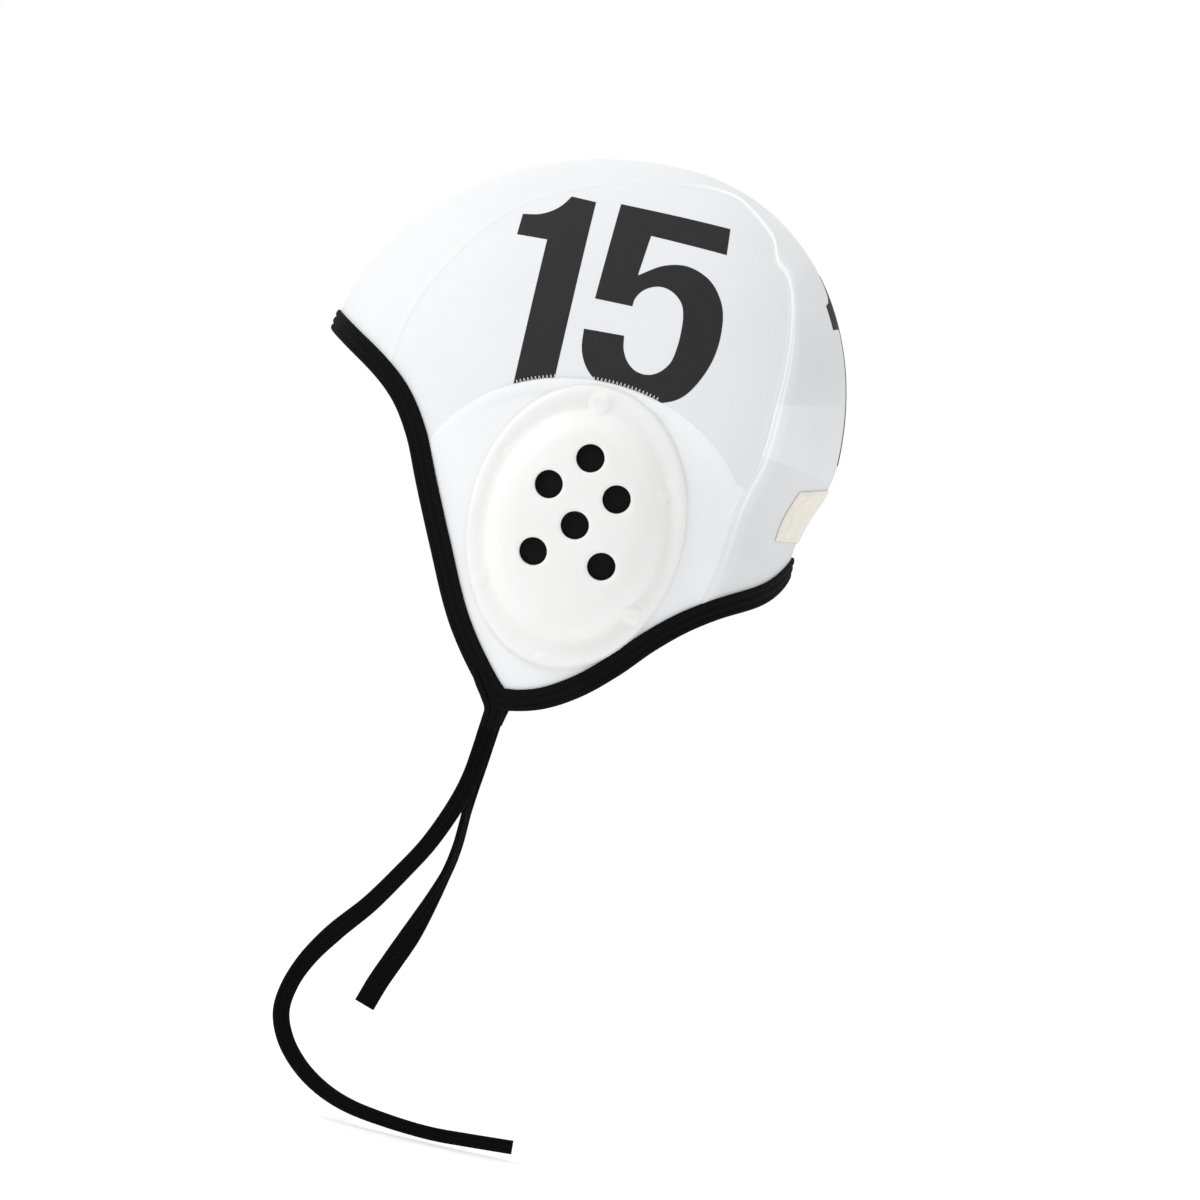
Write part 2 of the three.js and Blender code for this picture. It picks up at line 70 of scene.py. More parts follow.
# Head form of the cap, in metres
# Half its width, its reach to the front and to the back, its rise over the hub and its drop below it
HALF = 0.077
FRONT, BACK = 0.114, 0.0825
RISE, SKIRT = 0.0966, 0.160
# Exponents of its outline across and of the back of the crown
SIDE_FULL, BACK_FULL = 2.4, 2.1
# Where it draws in at the nape: depth as a share of the reach, turn and spread in degrees
TUCK, TUCK_TURN, TUCK_SPREAD = 0.085, -24.0, 26.0
CLOTH = 0.0016
HUB_Z = CLOTH - RISE
CLEAR = 0.0004
TAPE_WIDTH = 0.0082
HEM = 0.0016
SEAM_GAP = 0.00035
EAR_Y, EAR_Z = -0.0078, HUB_Z - 0.0436
EAR_REACH, EAR_RISE = 0.0625, 0.052
GUARD_REACH, GUARD_UP, GUARD_DOWN, GUARD_RISE = 0.039, 0.0508, 0.0526, 0.0096
GUARD_OPENING = 0.7

# Rows of turn in degrees and share of the half width. A turn is measured round the hub in the side
# view: 0 behind, 90 at the crown, 180 at the face. The seam follows the photograph, and near the top
# of the back it leaves the line of the solids.
SEAM_ROWS = [
    (190, 0.74), (167, 0.745), (150, 0.73), (130, 0.67), (105, 0.61), (88, 0.545), (80, 0.485),
    (74.5, 0.46), (70, 0.498), (66, 0.533), (62, 0.564), (59, 0.625), (56.5, 0.65), (53, 0.645),
    (49, 0.668), (44.5, 0.706), (38, 0.75), (30.5, 0.787), (22, 0.816), (13.5, 0.834),
    (-1.5, 0.845), (-13, 0.833), (-23, 0.832), (-35, 0.846), (-46, 0.851), (-60, 0.832),
]
FRONT_RIM = [
    (176, 0), (176.7, 0.257), (179, 0.484), (183.9, 0.676), (190, 0.765), (199, 0.812),
    (211, 0.833), (228, 0.839), (244, 0.81), (259, 0.748),
]
BACK_RIM = [
    (259, 0.748), (267, 0.793), (274, 0.827), (282, 0.847), (291, 0.847), (301, 0.812),
    (311, 0.728), (320.5, 0.524), (327, 0.248), (328.8, 0),
]


def reach_at(turn):
    angle = np.radians(turn)
    c, s = np.cos(angle), np.sin(angle)
    reach = np.where(c < 0, FRONT, BACK)
    rise = np.where(s > 0, RISE, SKIRT)
    full = np.where((c > 0) & (s > 0), BACK_FULL, 2.0)
    plain = (np.abs(c / reach) ** full + np.abs(s / rise) ** full) ** (-1 / full)
    away = np.abs(((turn - TUCK_TURN + 540) % 360) - 180) / TUCK_SPREAD
    tuck = np.where(away < 1, TUCK * np.cos(np.minimum(away, 1) * np.pi / 2) ** 2, 0)
    return plain * (1 - tuck)


def turn_of(p):
    turn = np.degrees(np.arctan2(p[..., 2] - HUB_Z, p[..., 1]))
    return np.where(turn < -90, turn + 360, turn)


def level(p):
    in_plane = np.hypot(p[..., 1], p[..., 2] - HUB_Z) / reach_at(turn_of(p))
    return np.abs(p[..., 0] / HALF) ** SIDE_FULL + in_plane ** SIDE_FULL


def on_skin(p):
    hub = np.array((0, 0, HUB_Z))
    scale = level(p) ** (-1 / SIDE_FULL)
    return (p - hub) * scale[..., None] + hub


def skin_across(turn, x):
    turn, x = np.broadcast_arrays(np.asarray(turn, float), np.asarray(x, float))
    reach = reach_at(turn) * (1 - np.abs(x / HALF) ** SIDE_FULL) ** (1 / SIDE_FULL)
    angle = np.radians(turn)
    return np.stack([x, reach * np.cos(angle), HUB_Z + reach * np.sin(angle)], axis=-1)


def skin_beside(y, z):
    y, z = np.broadcast_arrays(np.asarray(y, float), np.asarray(z, float))
    flat = np.stack([np.zeros_like(y), y, z], axis=-1)
    x = HALF * np.maximum(1 - level(flat), 0) ** (1 / SIDE_FULL)
    return np.stack([x, y, z], axis=-1)


def normal_at(p):
    step = 2e-5
    slope = []
    for axis in range(3):
        shift = np.zeros(3)
        shift[axis] = step
        slope.append(level(p + shift) - level(p - shift))
    n = np.stack(slope, axis=-1)
    return n / np.linalg.norm(n, axis=-1, keepdims=True)


def raised(p, height):
    return p + normal_at(p) * np.asarray(height)[..., None]


def hermite(t, v, slope, i, at):
    """Smooth value between the rows i and i + 1 of a table with a slope at each row."""
    span = t[i + 1] - t[i]
    s = np.clip((at - t[i]) / span, 0, 1)
    share = 2 * s ** 3 - 3 * s ** 2 + 1
    first = (s ** 3 - 2 * s ** 2 + s) * span * slope[i]
    second = (s ** 3 - s ** 2) * span * slope[i + 1]
    return share * v[i] + first + (1 - share) * v[i + 1] + second


def seam_x(turn):
    """Distance of the seam from the middle plane at a turn."""
    t, v = np.array(SEAM_ROWS, float).T
    last = len(t) - 1
    row = np.arange(last + 1)
    before, after = np.maximum(row - 1, 0), np.minimum(row + 1, last)
    slope = (v[after] - v[before]) / (t[after] - t[before])
    turn = np.asarray(turn, float)
    i = np.clip(np.searchsorted(-t, -turn, side="right") - 1, 0, last - 1)
    return hermite(t, v, slope, i, turn) * HALF


def seam_at(turn, shift=0.0):
    return skin_across(turn, seam_x(turn) + shift)


class Curve:
    """Centripetal Catmull-Rom curve through points, looked up by its length."""

    def __init__(self, points):
        points = np.array(points, float)
        first, last = 2 * points[0] - points[1], 2 * points[-1] - points[-2]
        p = np.vstack([first, points, last])
        line = []
        for k in range(1, len(p) - 2):
            dt = [max(np.linalg.norm(p[j + 1] - p[j]), 1e-9) ** 0.5 for j in (k - 1, k, k + 1)]
            x0, x1, x2, x3 = p[k - 1], p[k], p[k + 1], p[k + 2]
            t1 = ((x1 - x0) / dt[0] - (x2 - x0) / (dt[0] + dt[1]) + (x2 - x1) / dt[1]) * dt[1]
            t2 = ((x2 - x1) / dt[1] - (x3 - x1) / (dt[1] + dt[2]) + (x3 - x2) / dt[2]) * dt[1]
            t = np.linspace(0, 1, 121)[:, None]
            c2, c3 = -3 * x1 + 3 * x2 - 2 * t1 - t2, 2 * x1 - 2 * x2 + t1 + t2
            piece = x1 + t1 * t + c2 * t ** 2 + c3 * t ** 3
            line.append(piece if k == 1 else piece[1:])
        self.line = np.vstack(line)
        steps = np.linalg.norm(np.diff(self.line, axis=0), axis=1)
        self.along = np.concatenate([[0], np.cumsum(steps)])
        self.length = self.along[-1]

    def at(self, share):
        d = np.asarray(share, float) * self.length
        return np.stack([np.interp(d, self.along, self.line[:, k]) for k in range(3)], axis=-1)

    def tangent(self, share):
        share = np.asarray(share, float)
        a, b = np.clip(share - 1e-3, 0, 1), np.clip(share + 1e-3, 0, 1)
        t = self.at(b) - self.at(a)
        return t / np.linalg.norm(t, axis=-1, keepdims=True)


def rim_curve(rows):
    tip_first = rows[::-1] if rows[0][1] == 0 else rows
    left = np.array([skin_across(turn, share * HALF) for turn, share in tip_first])
    right = left[:-1][::-1] * np.array((-1, 1, 1))
    return Curve(np.vstack([left, right]))


RIMS = {"front": (rim_curve(FRONT_RIM), 1.0), "back": (rim_curve(BACK_RIM), -1.0)}


def inward_at(rim, share):
    curve, towards = RIMS[rim]
    p = curve.at(share)
    inward = np.cross(curve.tangent(share), normal_at(p))
    return towards * inward / np.linalg.norm(inward, axis=-1, keepdims=True)


def mitre(share):
    front, other = inward_at("front", share), inward_at("back", share)
    total = front + other
    return total / (1 + (front * other).sum(-1, keepdims=True))


def inset_at(rim, share, distance):
    share = np.asarray(share, float)
    p = RIMS[rim][0].at(share)
    direction = inward_at(rim, share)
    tip = (share <= 0) | (share >= 1)
    if tip.any():
        direction = np.where(tip[..., None], mitre(share), direction)
    return on_skin(p + direction * np.asarray(distance)[..., None])


def hem_at(rim, share):
    return inset_at(rim, share, np.full(np.shape(share), HEM))


def crossing(test, near, far):
    sign = np.sign(test(near))
    for _ in range(40):
        middle = (near + far) / 2
        if np.sign(test(middle)) == sign:
            near = middle
        else:
            far = middle
    return (near + far) / 2


def hem_seam_share(rim, shift):
    def beyond(share):
        hem = hem_at(rim, share)
        return float(hem[0] - seam_at(turn_of(hem), shift)[0])
    return crossing(beyond, 0.02, 0.5)


def ear_edge_at(angle, shrink=0.0):
    angle = np.radians(angle)
    y = EAR_Y + (EAR_REACH - shrink) * np.cos(angle)
    z = EAR_Z + (EAR_RISE - shrink) * np.sin(angle)
    return skin_beside(y, z)


def corner_gap(angle):
    edge = ear_edge_at(angle)
    return float(edge[0] - seam_at(turn_of(edge), 2 * SEAM_GAP)[0] - HEM)


EAR_CORNER = crossing(corner_gap, 80.0, 5.0)
CORNER_TURN = float(turn_of(ear_edge_at(EAR_CORNER)))


def front_corner(shrink):
    reach, rise = EAR_REACH - shrink, EAR_RISE - shrink

    def beyond(share):
        hem = hem_at("front", share)
        return float(np.hypot((hem[1] - EAR_Y) / reach, (hem[2] - EAR_Z) / rise) - 1)
    share = crossing(beyond, 0.2, 0.45)
    hem = hem_at("front", share)
    angle = math.degrees(math.atan2((hem[2] - EAR_Z) / rise, (hem[1] - EAR_Y) / reach))
    return share, angle


# Meshes

def smooth(low, high, value):
    s = np.clip((np.asarray(value, float) - low) / (high - low), 0, 1)
    return s * s * (3 - 2 * s)


def bump(value, centre, width):
    return np.exp(-((np.asarray(value, float) - centre) / width) ** 2)


def look_up(rows, at):
    """Value of a table of pairs, along straight lines between its rows."""
    return np.interp(at, *zip(*rows))


def mesh_object(name, points, faces, material, sharp=50):
    mesh = bpy.data.meshes.new(name)
    mesh.from_pydata([tuple(p) for p in points], [], [tuple(f) for f in faces])
    mesh.update()
    work = bmesh.new()
    work.from_mesh(mesh)
    bmesh.ops.remove_doubles(work, verts=work.verts, dist=1e-6)
    bmesh.ops.recalc_face_normals(work, faces=work.faces)
    work.to_mesh(mesh)
    work.free()
    mesh.shade_smooth()
    mesh.set_sharp_from_angle(angle=math.radians(sharp))
    mesh.materials.append(material)
    return new_object(name, mesh)


def points_of(piece):
    return np.array([v.co for v in piece.data.vertices])


def grid_faces(rows, columns, ring=False, offset=0):
    faces = []
    for r in range(rows if ring else rows - 1):
        n = (r + 1) % rows
        for c in range(columns - 1):
            faces.append((offset + r * columns + c, offset + n * columns + c,
                          offset + n * columns + c + 1, offset + r * columns + c + 1))
    return faces


def shell(name, outer, inner, material, ring=False, sharp=50):
    """Closed wall between an outer and an inner grid of points."""
    rows, columns = outer.shape[:2]
    points = np.vstack([outer.reshape(-1, 3), inner.reshape(-1, 3)])
    half = rows * columns
    faces = grid_faces(rows, columns, ring) + grid_faces(rows, columns, ring, half)
    for r in range(rows if ring else rows - 1):
        n = (r + 1) % rows
        for c in (0, columns - 1):
            a, b = r * columns + c, n * columns + c
            faces.append((a, b, half + b, half + a))
    if not ring:
        for c in range(columns - 1):
            for r in (0, rows - 1):
                a, b = r * columns + c, r * columns + c + 1
                faces.append((a, b, half + b, half + a))
    return mesh_object(name, points, faces, material, sharp)


def flipped(piece):
    """Makes a piece its own mirror image across the middle plane."""
    piece.data.transform(Matrix.Scale(-1, 4, (1, 0, 0)))
    piece.data.flip_normals()
    return piece


def mirror(name, piece):
    """Mirror image of a piece, as a second piece."""
    mesh = piece.data.copy()
    mesh.name = name
    return flipped(new_object(name, mesh))


def loft(name, sections, material, sharp):
    """Joins matching loops of points and closes both ends; sections is rows x loop x 3."""
    rows, count = sections.shape[:2]
    faces = []
    for r in range(rows - 1):
        for i in range(count):
            n = (i + 1) % count
            faces.append((r * count + i, (r + 1) * count + i, (r + 1) * count + n, r * count + n))
    faces.append(tuple(range(count)))
    faces.append(tuple(range((rows - 1) * count, rows * count)))
    return mesh_object(name, sections.reshape(-1, 3), faces, material, sharp)


def distances(grid):
    """Distance along each row of a grid from its first and from its last column."""
    steps = np.linalg.norm(np.diff(grid, axis=1), axis=2)
    start = np.concatenate([np.zeros((len(grid), 1)), np.cumsum(steps, axis=1)], axis=1)
    return start, start[:, -1:] - start


# Materials

def set_inputs(tree, node, inputs):
    """Sets inputs by name, with _ for a space; where the value is a node's output, it links it."""
    for name, value in inputs.items():
        target = node.inputs[name.replace("_", " ")]
        if isinstance(value, bpy.types.NodeSocket):
            tree.links.new(value, target)
        else:
            target.default_value = value


def add(tree, kind, settings=(), **inputs):
    node = tree.nodes.new(kind)
    for key, value in settings:
        setattr(node, key, value)
    set_inputs(tree, node, inputs)
    return node


def new_material(name, **inputs):
    """Material with its tree and its shader, whose inputs these are."""
    material = bpy.data.materials.new(name)
    material.use_nodes = True
    tree = material.node_tree
    shader = next(n for n in tree.nodes if n.type == "BSDF_PRINCIPLED")
    set_inputs(tree, shader, inputs)
    return material, tree, shader


def wave_scale(stripes):
    """Scale of a wave texture with this many stripes in a metre, light and dark ones counted."""
    return stripes / 6.3


def bands(tree, place, direction, stripes, **inputs):
    settings = [("wave_type", "BANDS"), ("bands_direction", direction)]
    return add(tree, "ShaderNodeTexWave", settings, Vector=place, Scale=wave_scale(stripes),
               **inputs).outputs["Fac"]


def noise(tree, place, scale, detail, **inputs):
    return add(tree, "ShaderNodeTexNoise", Vector=place, Scale=scale, Detail=detail, **inputs).outputs["Fac"]


def combine(tree, operation, first, second):
    node = add(tree, "ShaderNodeMath", [("operation", operation)])
    tree.links.new(first, node.inputs[0])
    tree.links.new(second, node.inputs[1])
    return node.outputs["Value"]


def mix_colors(tree, first, second, factor, blend="MIX"):
    settings = [("data_type", "RGBA"), ("blend_type", blend)]
    return add(tree, "ShaderNodeMix", settings, Factor=factor, A=first, B=second).outputs["Result"]


def map_range(tree, value, **inputs):
    return add(tree, "ShaderNodeMapRange", Value=value, **inputs).outputs["Result"]


def emboss(tree, shader, height, strength, distance=0.0003):
    bumps = add(tree, "ShaderNodeBump", Height=height, Strength=strength, Distance=distance)
    set_inputs(tree, shader, {"Normal": bumps.outputs["Normal"]})


def knit_material(name, color, depth=0.08, stripes=1500):
    """Fine stretch knit: close wales with small loops across them, and the tone kept for each point, which
    paints light and shade.
    """
    material, tree, shader = new_material(
        name, Roughness=0.74, Sheen_Weight=0.1, Sheen_Roughness=0.4, Specular_IOR_Level=0.22)
    place = add(tree, "ShaderNodeTexCoord").outputs["Object"]
    wales = bands(tree, place, "Y", stripes, Distortion=0.6, Detail=1.0)
    loops = bands(tree, place, "Z", stripes * 1.25, Distortion=0.8)
    cloud = noise(tree, place, 26.0, 3.0, Roughness=0.5)
    shade = map_range(tree, cloud, From_Min=0.3, From_Max=0.7, To_Min=0.97, To_Max=1.0)
    grey = add(tree, "ShaderNodeCombineColor", Red=shade, Green=shade, Blue=shade).outputs["Color"]
    clouded = mix_colors(tree, (*color, 1), grey, 1.0, "MULTIPLY")
    tone = add(tree, "ShaderNodeVertexColor", [("layer_name", "tone")]).outputs["Color"]
    set_inputs(tree, shader, {"Base Color": mix_colors(tree, clouded, tone, 1.0, "MULTIPLY")})
    emboss(tree, shader, combine(tree, "MULTIPLY", wales, loops), depth)
    return material


def tape_material(name, color):
    """Woven black tape: fine yarns across, with a slightly lighter nap."""
    material, tree, shader = new_material(name, Roughness=0.9, Specular_IOR_Level=0.1)
    place = add(tree, "ShaderNodeUVMap").outputs["UV"]
    yarn = bands(tree, place, "X", 1 / 0.0007, Distortion=1.5, Detail=2.0, Detail_Scale=3.0)
    fuzz = noise(tree, place, 900.0, 2.0)
    nap = (*(2.6 * c for c in color), 1)
    set_inputs(tree, shader, {"Base Color": mix_colors(tree, (*color, 1), nap, fuzz)})
    emboss(tree, shader, combine(tree, "ADD", yarn, fuzz), 0.35)
    return material


def plastic_material(name):
    """Soft translucent off-white moulding with a satin, faintly pitted surface."""
    material, tree, shader = new_material(
        name, Subsurface_Weight=0.35, Subsurface_Radius=(1.0, 0.95, 0.85), Subsurface_Scale=0.003,
        Specular_IOR_Level=0.4)
    place = add(tree, "ShaderNodeTexCoord").outputs["Object"]
    cloud = noise(tree, place, 45.0, 4.0, Roughness=0.55)
    tint = mix_colors(tree, (0.89, 0.89, 0.87, 1), (0.94, 0.94, 0.93, 1), cloud)
    gloss = map_range(tree, cloud, To_Min=0.42, To_Max=0.56)
    set_inputs(tree, shader, {"Base Color": tint, "Roughness": gloss})
    emboss(tree, shader, noise(tree, place, 1400.0, 2.0), 0.05, 0.0002)
    return material


def plain_woven(name, color, stripes, strength, rough):
    """Close plain weave for the label, the dark sheet that paints the shade in the guard's holes, the thread
    and the printed numbers.
    """
    material, tree, shader = new_material(name, Roughness=rough, Specular_IOR_Level=0.25)
    place = add(tree, "ShaderNodeTexCoord").outputs["Object"]
    warp, weft = (bands(tree, place, direction, stripes, Distortion=0.7) for direction in ("Y", "Z"))
    dark = (*(0.88 * c for c in color), 1)
    light = (*(min(1, 1.08 * c) for c in color), 1)
    speck = noise(tree, place, 240.0, 3.0)
    set_inputs(tree, shader, {"Base Color": mix_colors(tree, dark, light, speck)})
    emboss(tree, shader, combine(tree, "MULTIPLY", warp, weft), strength)
    return material


STRIP_CLOTH = knit_material("strip_knit", (0.84, 0.85, 0.86), 0.04)
PANEL_CLOTH = knit_material("panel_knit", (0.855, 0.865, 0.89))
EAR_CLOTH = knit_material("ear_knit", (0.91, 0.92, 0.93))
TAPE = tape_material("black_tape", (0.0022, 0.0022, 0.0023))
PLASTIC = plastic_material("guard_plastic")
TIE_TAPE = tape_material("tie_tape", (0.001, 0.001, 0.0011))
INK = plain_woven("print_ink", (0.024, 0.024, 0.025), 1500, 0.1, 0.75)
# Near-black woven sheet under each guard; it paints the shade seen through the guard's holes
HOLE_SHADE_BLACK = plain_woven("hole_shade_sheet", (0.0022, 0.0022, 0.0022), 700, 0.5, 0.95)
LABEL = plain_woven("cream_label", (0.91, 0.875, 0.79), 1500, 0.2, 0.8)
THREAD = plain_woven("white_thread", (0.9, 0.91, 0.92), 3000, 0.1, 0.7)


def place(piece, node, slot):
    """Hides the part that a piece stands for, if any, and attaches the piece to the root body; the slot is
    not used.
    """
    if node:
        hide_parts(node)
    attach(piece, "root")


# Ties, as flat tape along their routes
LEFT_TIE = [
    (0.0575, -0.0221, -0.2115), (0.0572, -0.0228, -0.2195), (0.057, -0.0235, -0.2275),
    (0.0565, -0.0245, -0.2355), (0.056, -0.0262, -0.243), (0.055, -0.0296, -0.253),
    (0.0545, -0.0346, -0.2645), (0.054, -0.0413, -0.276), (0.053, -0.0501, -0.2898),
    (0.0525, -0.0605, -0.303), (0.052, -0.0679, -0.3147), (0.0515, -0.072, -0.3255),
    (0.051, -0.0728, -0.3355), (0.0505, -0.069, -0.345), (0.05, -0.0615, -0.3535),
    (0.0495, -0.0525, -0.3595), (0.049, -0.042, -0.3635), (0.0485, -0.026, -0.366),
    (0.048, -0.0095, -0.367), (0.047, 0.004, -0.3665), (0.0465, 0.0205, -0.3655),
]
RIGHT_TIE = [
    (-0.0575, -0.0221, -0.2115), (-0.0575, -0.0232, -0.22), (-0.0575, -0.0242, -0.23),
    (-0.0575, -0.025, -0.24), (-0.0575, -0.0255, -0.25), (-0.0575, -0.0256, -0.26),
    (-0.0575, -0.026, -0.2695), (-0.0575, -0.0273, -0.2785), (-0.0575, -0.0298, -0.2882),
    (-0.0575, -0.0328, -0.298), (-0.0575, -0.0364, -0.3085), (-0.0575, -0.0402, -0.318),
    (-0.0575, -0.0444, -0.3285), (-0.0575, -0.0476, -0.3385),
]

# Half of the tape's section: share of half the width, share of half the thickness
TIE_SECTION = [
    (1.0, 0.0), (0.97, 0.55), (0.86, 0.9), (0.66, 1.0), (0.46, 0.95), (0.36, 0.72),
    (0.27, 0.95), (0.0, 1.0), (-0.27, 0.95), (-0.36, 0.72), (-0.46, 0.95), (-0.66, 1.0),
    (-0.86, 0.9), (-0.97, 0.55),
]

# Widths and twists by share of the length; a twist is in degrees from the view plane
LEFT_WIDTHS = [
    (0, 0.0064), (0.25, 0.0062), (0.34, 0.0066), (0.42, 0.007), (0.5, 0.0063), (0.6, 0.0062),
    (0.68, 0.0058), (0.76, 0.0053), (0.85, 0.0049), (1, 0.0051),
]
LEFT_TWISTS = [(0, 0), (0.35, -8), (0.5, 10), (0.7, 12), (1, 6)]
RIGHT_WIDTHS = [(0, 0.0062), (0.55, 0.007), (0.75, 0.0086), (1, 0.0084)]
RIGHT_TWISTS = [(0, 0), (0.1, 0), (0.35, 70), (0.54, 66), (0.68, 36), (0.8, 10), (1, 0)]
TIE_WIDTH, TIE_THICK = 0.0066, 0.0021


def unwrap_along(piece, line):
    """UV in metres: along a line and round the piece."""
    steps = np.concatenate([[0], np.cumsum(np.linalg.norm(np.diff(line, axis=0), axis=1))])
    co = points_of(piece)
    nearest = np.empty(len(co), int)
    batch = 2000
    for start in range(0, len(co), batch):
        part = co[start:start + batch]
        nearest[start:start + batch] = ((part[:, None] - line[None]) ** 2).sum(2).argmin(1)
    u = steps[nearest]
    v = np.linalg.norm(co - line[nearest], axis=1)
    layer = piece.data.uv_layers.new(name="tape")
    for loop in piece.data.loops:
        layer.data[loop.index].uv = (u[loop.vertex_index], v[loop.vertex_index])


def tape_along(name, points, count, widths, twists, thicknesses, material):
    """Flat tape whose wide side starts in the view plane and turns by the twist, with its line and length."""
    curve = Curve(points)
    share = np.linspace(0, 1, count)
    line = curve.at(share)
    width, thick = look_up(widths, share), look_up(thicknesses, share)
    twist = np.radians(look_up(twists, share))
    tangent = np.gradient(line, axis=0)
    tangent /= np.linalg.norm(tangent, axis=1, keepdims=True)
    aside = np.array((1.0, 0, 0)) - tangent * tangent[:, :1]
    aside /= np.linalg.norm(aside, axis=1, keepdims=True)
    level_wide = np.cross(tangent, aside)
    cos, sin = np.cos(twist)[:, None], np.sin(twist)[:, None]
    wide, thin = cos * level_wide + sin * aside, -sin * level_wide + cos * aside
    section = TIE_SECTION + [(-1.0, 0.0)] + [(a, -b) for a, b in TIE_SECTION[:0:-1]]
    loops = [line + wide * (a * width / 2)[:, None] + thin * (b * thick / 2)[:, None] for a, b in section]
    piece = loft(name, np.stack(loops, axis=1), material, 35)
    unwrap_along(piece, line)
    return piece, line, curve.length


for name, node, points, count, widths, twists in (
    ("flat_tie_left", "tie_left", LEFT_TIE, 360, LEFT_WIDTHS, LEFT_TWISTS),
    ("flat_tie_right", "tie_right", RIGHT_TIE, 200, RIGHT_WIDTHS, RIGHT_TWISTS),
):
    piece, line, length = tape_along(name, points, count, widths, twists, [(0, TIE_THICK)], TIE_TAPE)
    place(piece, node, "black_tape")


# Cloth panels
FRONT_SEAM_TURN = float(turn_of(hem_at("front", hem_seam_share("front", 0))))
BACK_SEAM_TURN = float(turn_of(hem_at("back", hem_seam_share("back", 0))))
UPPER_STEPS, LOWER_STEPS = 210, 60
UPPER_TURNS = np.linspace(FRONT_SEAM_TURN, CORNER_TURN, UPPER_STEPS + 1)
LOWER_TURNS = np.linspace(CORNER_TURN, BACK_SEAM_TURN, LOWER_STEPS + 1)
# Room between sewn panels
TOUCH = 0.00003
# Where the ear panel's edge crosses the print, and its stitches show: least and greatest y
LEFT_STITCHES = (-0.046, 0.0118)
RIGHT_STITCHES = (-0.028, 0.031)
# Tone of the strip's cloth by turn in degrees, which paints light and shade: darker low on the back, with a
# painted highlight from about 50 to 66 degrees
STRIP_LIGHT_AND_SHADE = [
    (-40, 0.955), (-6, 0.955), (0, 0.965), (15, 0.965), (24, 0.95), (35, 0.965), (42, 0.995), (49, 1.01),
    (54, 1.06), (64, 1.055), (72, 1.0), (80, 0.99), (90, 1.005),
]


def columns_across(count):
    """Shares across a panel, closer together near its seams."""
    even = np.linspace(0, 1, count)
    return even - 0.07 * np.sin(2 * np.pi * even)


def patch_grid(bottom, top, start, end, across):
    """Grid on the skin between four edges: bottom and top are its columns' ends, start and end its rows."""
    across = across[None, :, None]
    rows = np.linspace(0, 1, len(bottom))[:, None, None]
    grid = bottom[:, None] * (1 - across) + top[:, None] * across
    straight_start = bottom[0] * (1 - across[0]) + top[0] * across[0]
    straight_end = bottom[-1] * (1 - across[0]) + top[-1] * across[0]
    grid = grid + (start - straight_start)[None] * (1 - rows) + (end - straight_end)[None] * rows
    return on_skin(grid)


def past_seam(points):
    """Millimetres across from the seam: above 0 on the side of the ear, below 0 on the strip."""
    return (np.abs(points[..., 0]) - seam_x(turn_of(points))) * 1000


def ridge_at(turn):
    """Strength of the seam's ridge: full down the back, less over the crown and at the nape."""
    return (0.28 + 0.72 * (1 - smooth(72, 92, turn))) * (0.55 + 0.45 * smooth(-50, -22, turn))


def seam_lip(distance, ridge):
    """Height of the strip by its distance from a seam: rolled edge, then the turned allowance."""
    d = distance * 1000
    roll = 0.9 * bump(d, 1.7, 1.6)
    allowance = 0.34 * smooth(1.6, 3.6, d) * (1 - smooth(6.5, 10.5, d))
    return ridge * (roll + allowance) / 1000


def seam_foot(points):
    """Height of the panels beside the strip: they rise a little to meet its rolled edge."""
    return ridge_at(turn_of(points)) * 0.0003 * (1 - smooth(0, 1.5, past_seam(points)))


def cloth_piece(name, grid, height, material, ring=False):
    """Panel with its face raised over a grid and its wrong side below it, and its points."""
    inner = raised(grid, np.full(grid.shape[:2], -CLOTH))
    piece = shell(name, raised(grid, height), inner, material, ring)
    return piece, points_of(piece)


def set_tone(piece, tones):
    """Keeps a tone for each point, in the order of the mesh's points; the tones paint light and shade on the
    cloth.
    """
    layer = piece.data.color_attributes.new(name="tone", type="FLOAT_COLOR", domain="POINT")
    values = np.ones((len(piece.data.vertices), 4))
    values[:, :3] = np.asarray(tones)[:, None]
    layer.data.foreach_set("color", values.reshape(-1))


def strip_panel():
    turns = np.concatenate([UPPER_TURNS, LOWER_TURNS[1:]])
    left = seam_at(turns)
    right = left * np.array((-1, 1, 1))
    across = columns_across(141)
    ends = {}
    for rim in ("front", "back"):
        share = hem_seam_share(rim, 0)
        ends[rim] = hem_at(rim, share + (1 - 2 * share) * across)
    grid = patch_grid(left, right, ends["front"], ends["back"], across)
    start, end = distances(grid)
    height = seam_lip(np.minimum(start, end), ridge_at(turns)[:, None])
    piece, points = cloth_piece("strip_cloth", grid, height, STRIP_CLOTH)
    turn, aside = turn_of(points), past_seam(points)
    behind = 1 - smooth(76, 92, turn)
    # Painted highlight along the seam's rolled ridge, about 1 mm in from the seam, strongest down the back
    ridge = bump(aside, -0.9, 0.85) * (0.025 + 0.175 * behind * (0.4 + 0.6 * smooth(-45, -22, turn)))
    # Painted light over the seam allowance: the strip is lighter within about 3 to 6 mm of the seam, down the
    # back
    allowance_highlight = 0.055 * smooth(-5.6, -3.0, aside) * behind * (0.4 + 0.6 * smooth(-38, -24, turn))
    # A faintly lighter band over the label, more so away from the middle
    band = smooth(-5.4, -4.9, turn) * (1 - smooth(15.2, 15.8, turn))
    outer = 0.035 * band * (0.5 + 0.5 * smooth(0.022, 0.024, np.abs(points[:, 0])))
    wide = 0.045 * band * smooth(-18, -6, aside)
    set_tone(piece, look_up(STRIP_LIGHT_AND_SHADE, turn) + outer + allowance_highlight + ridge + wide)
    return piece


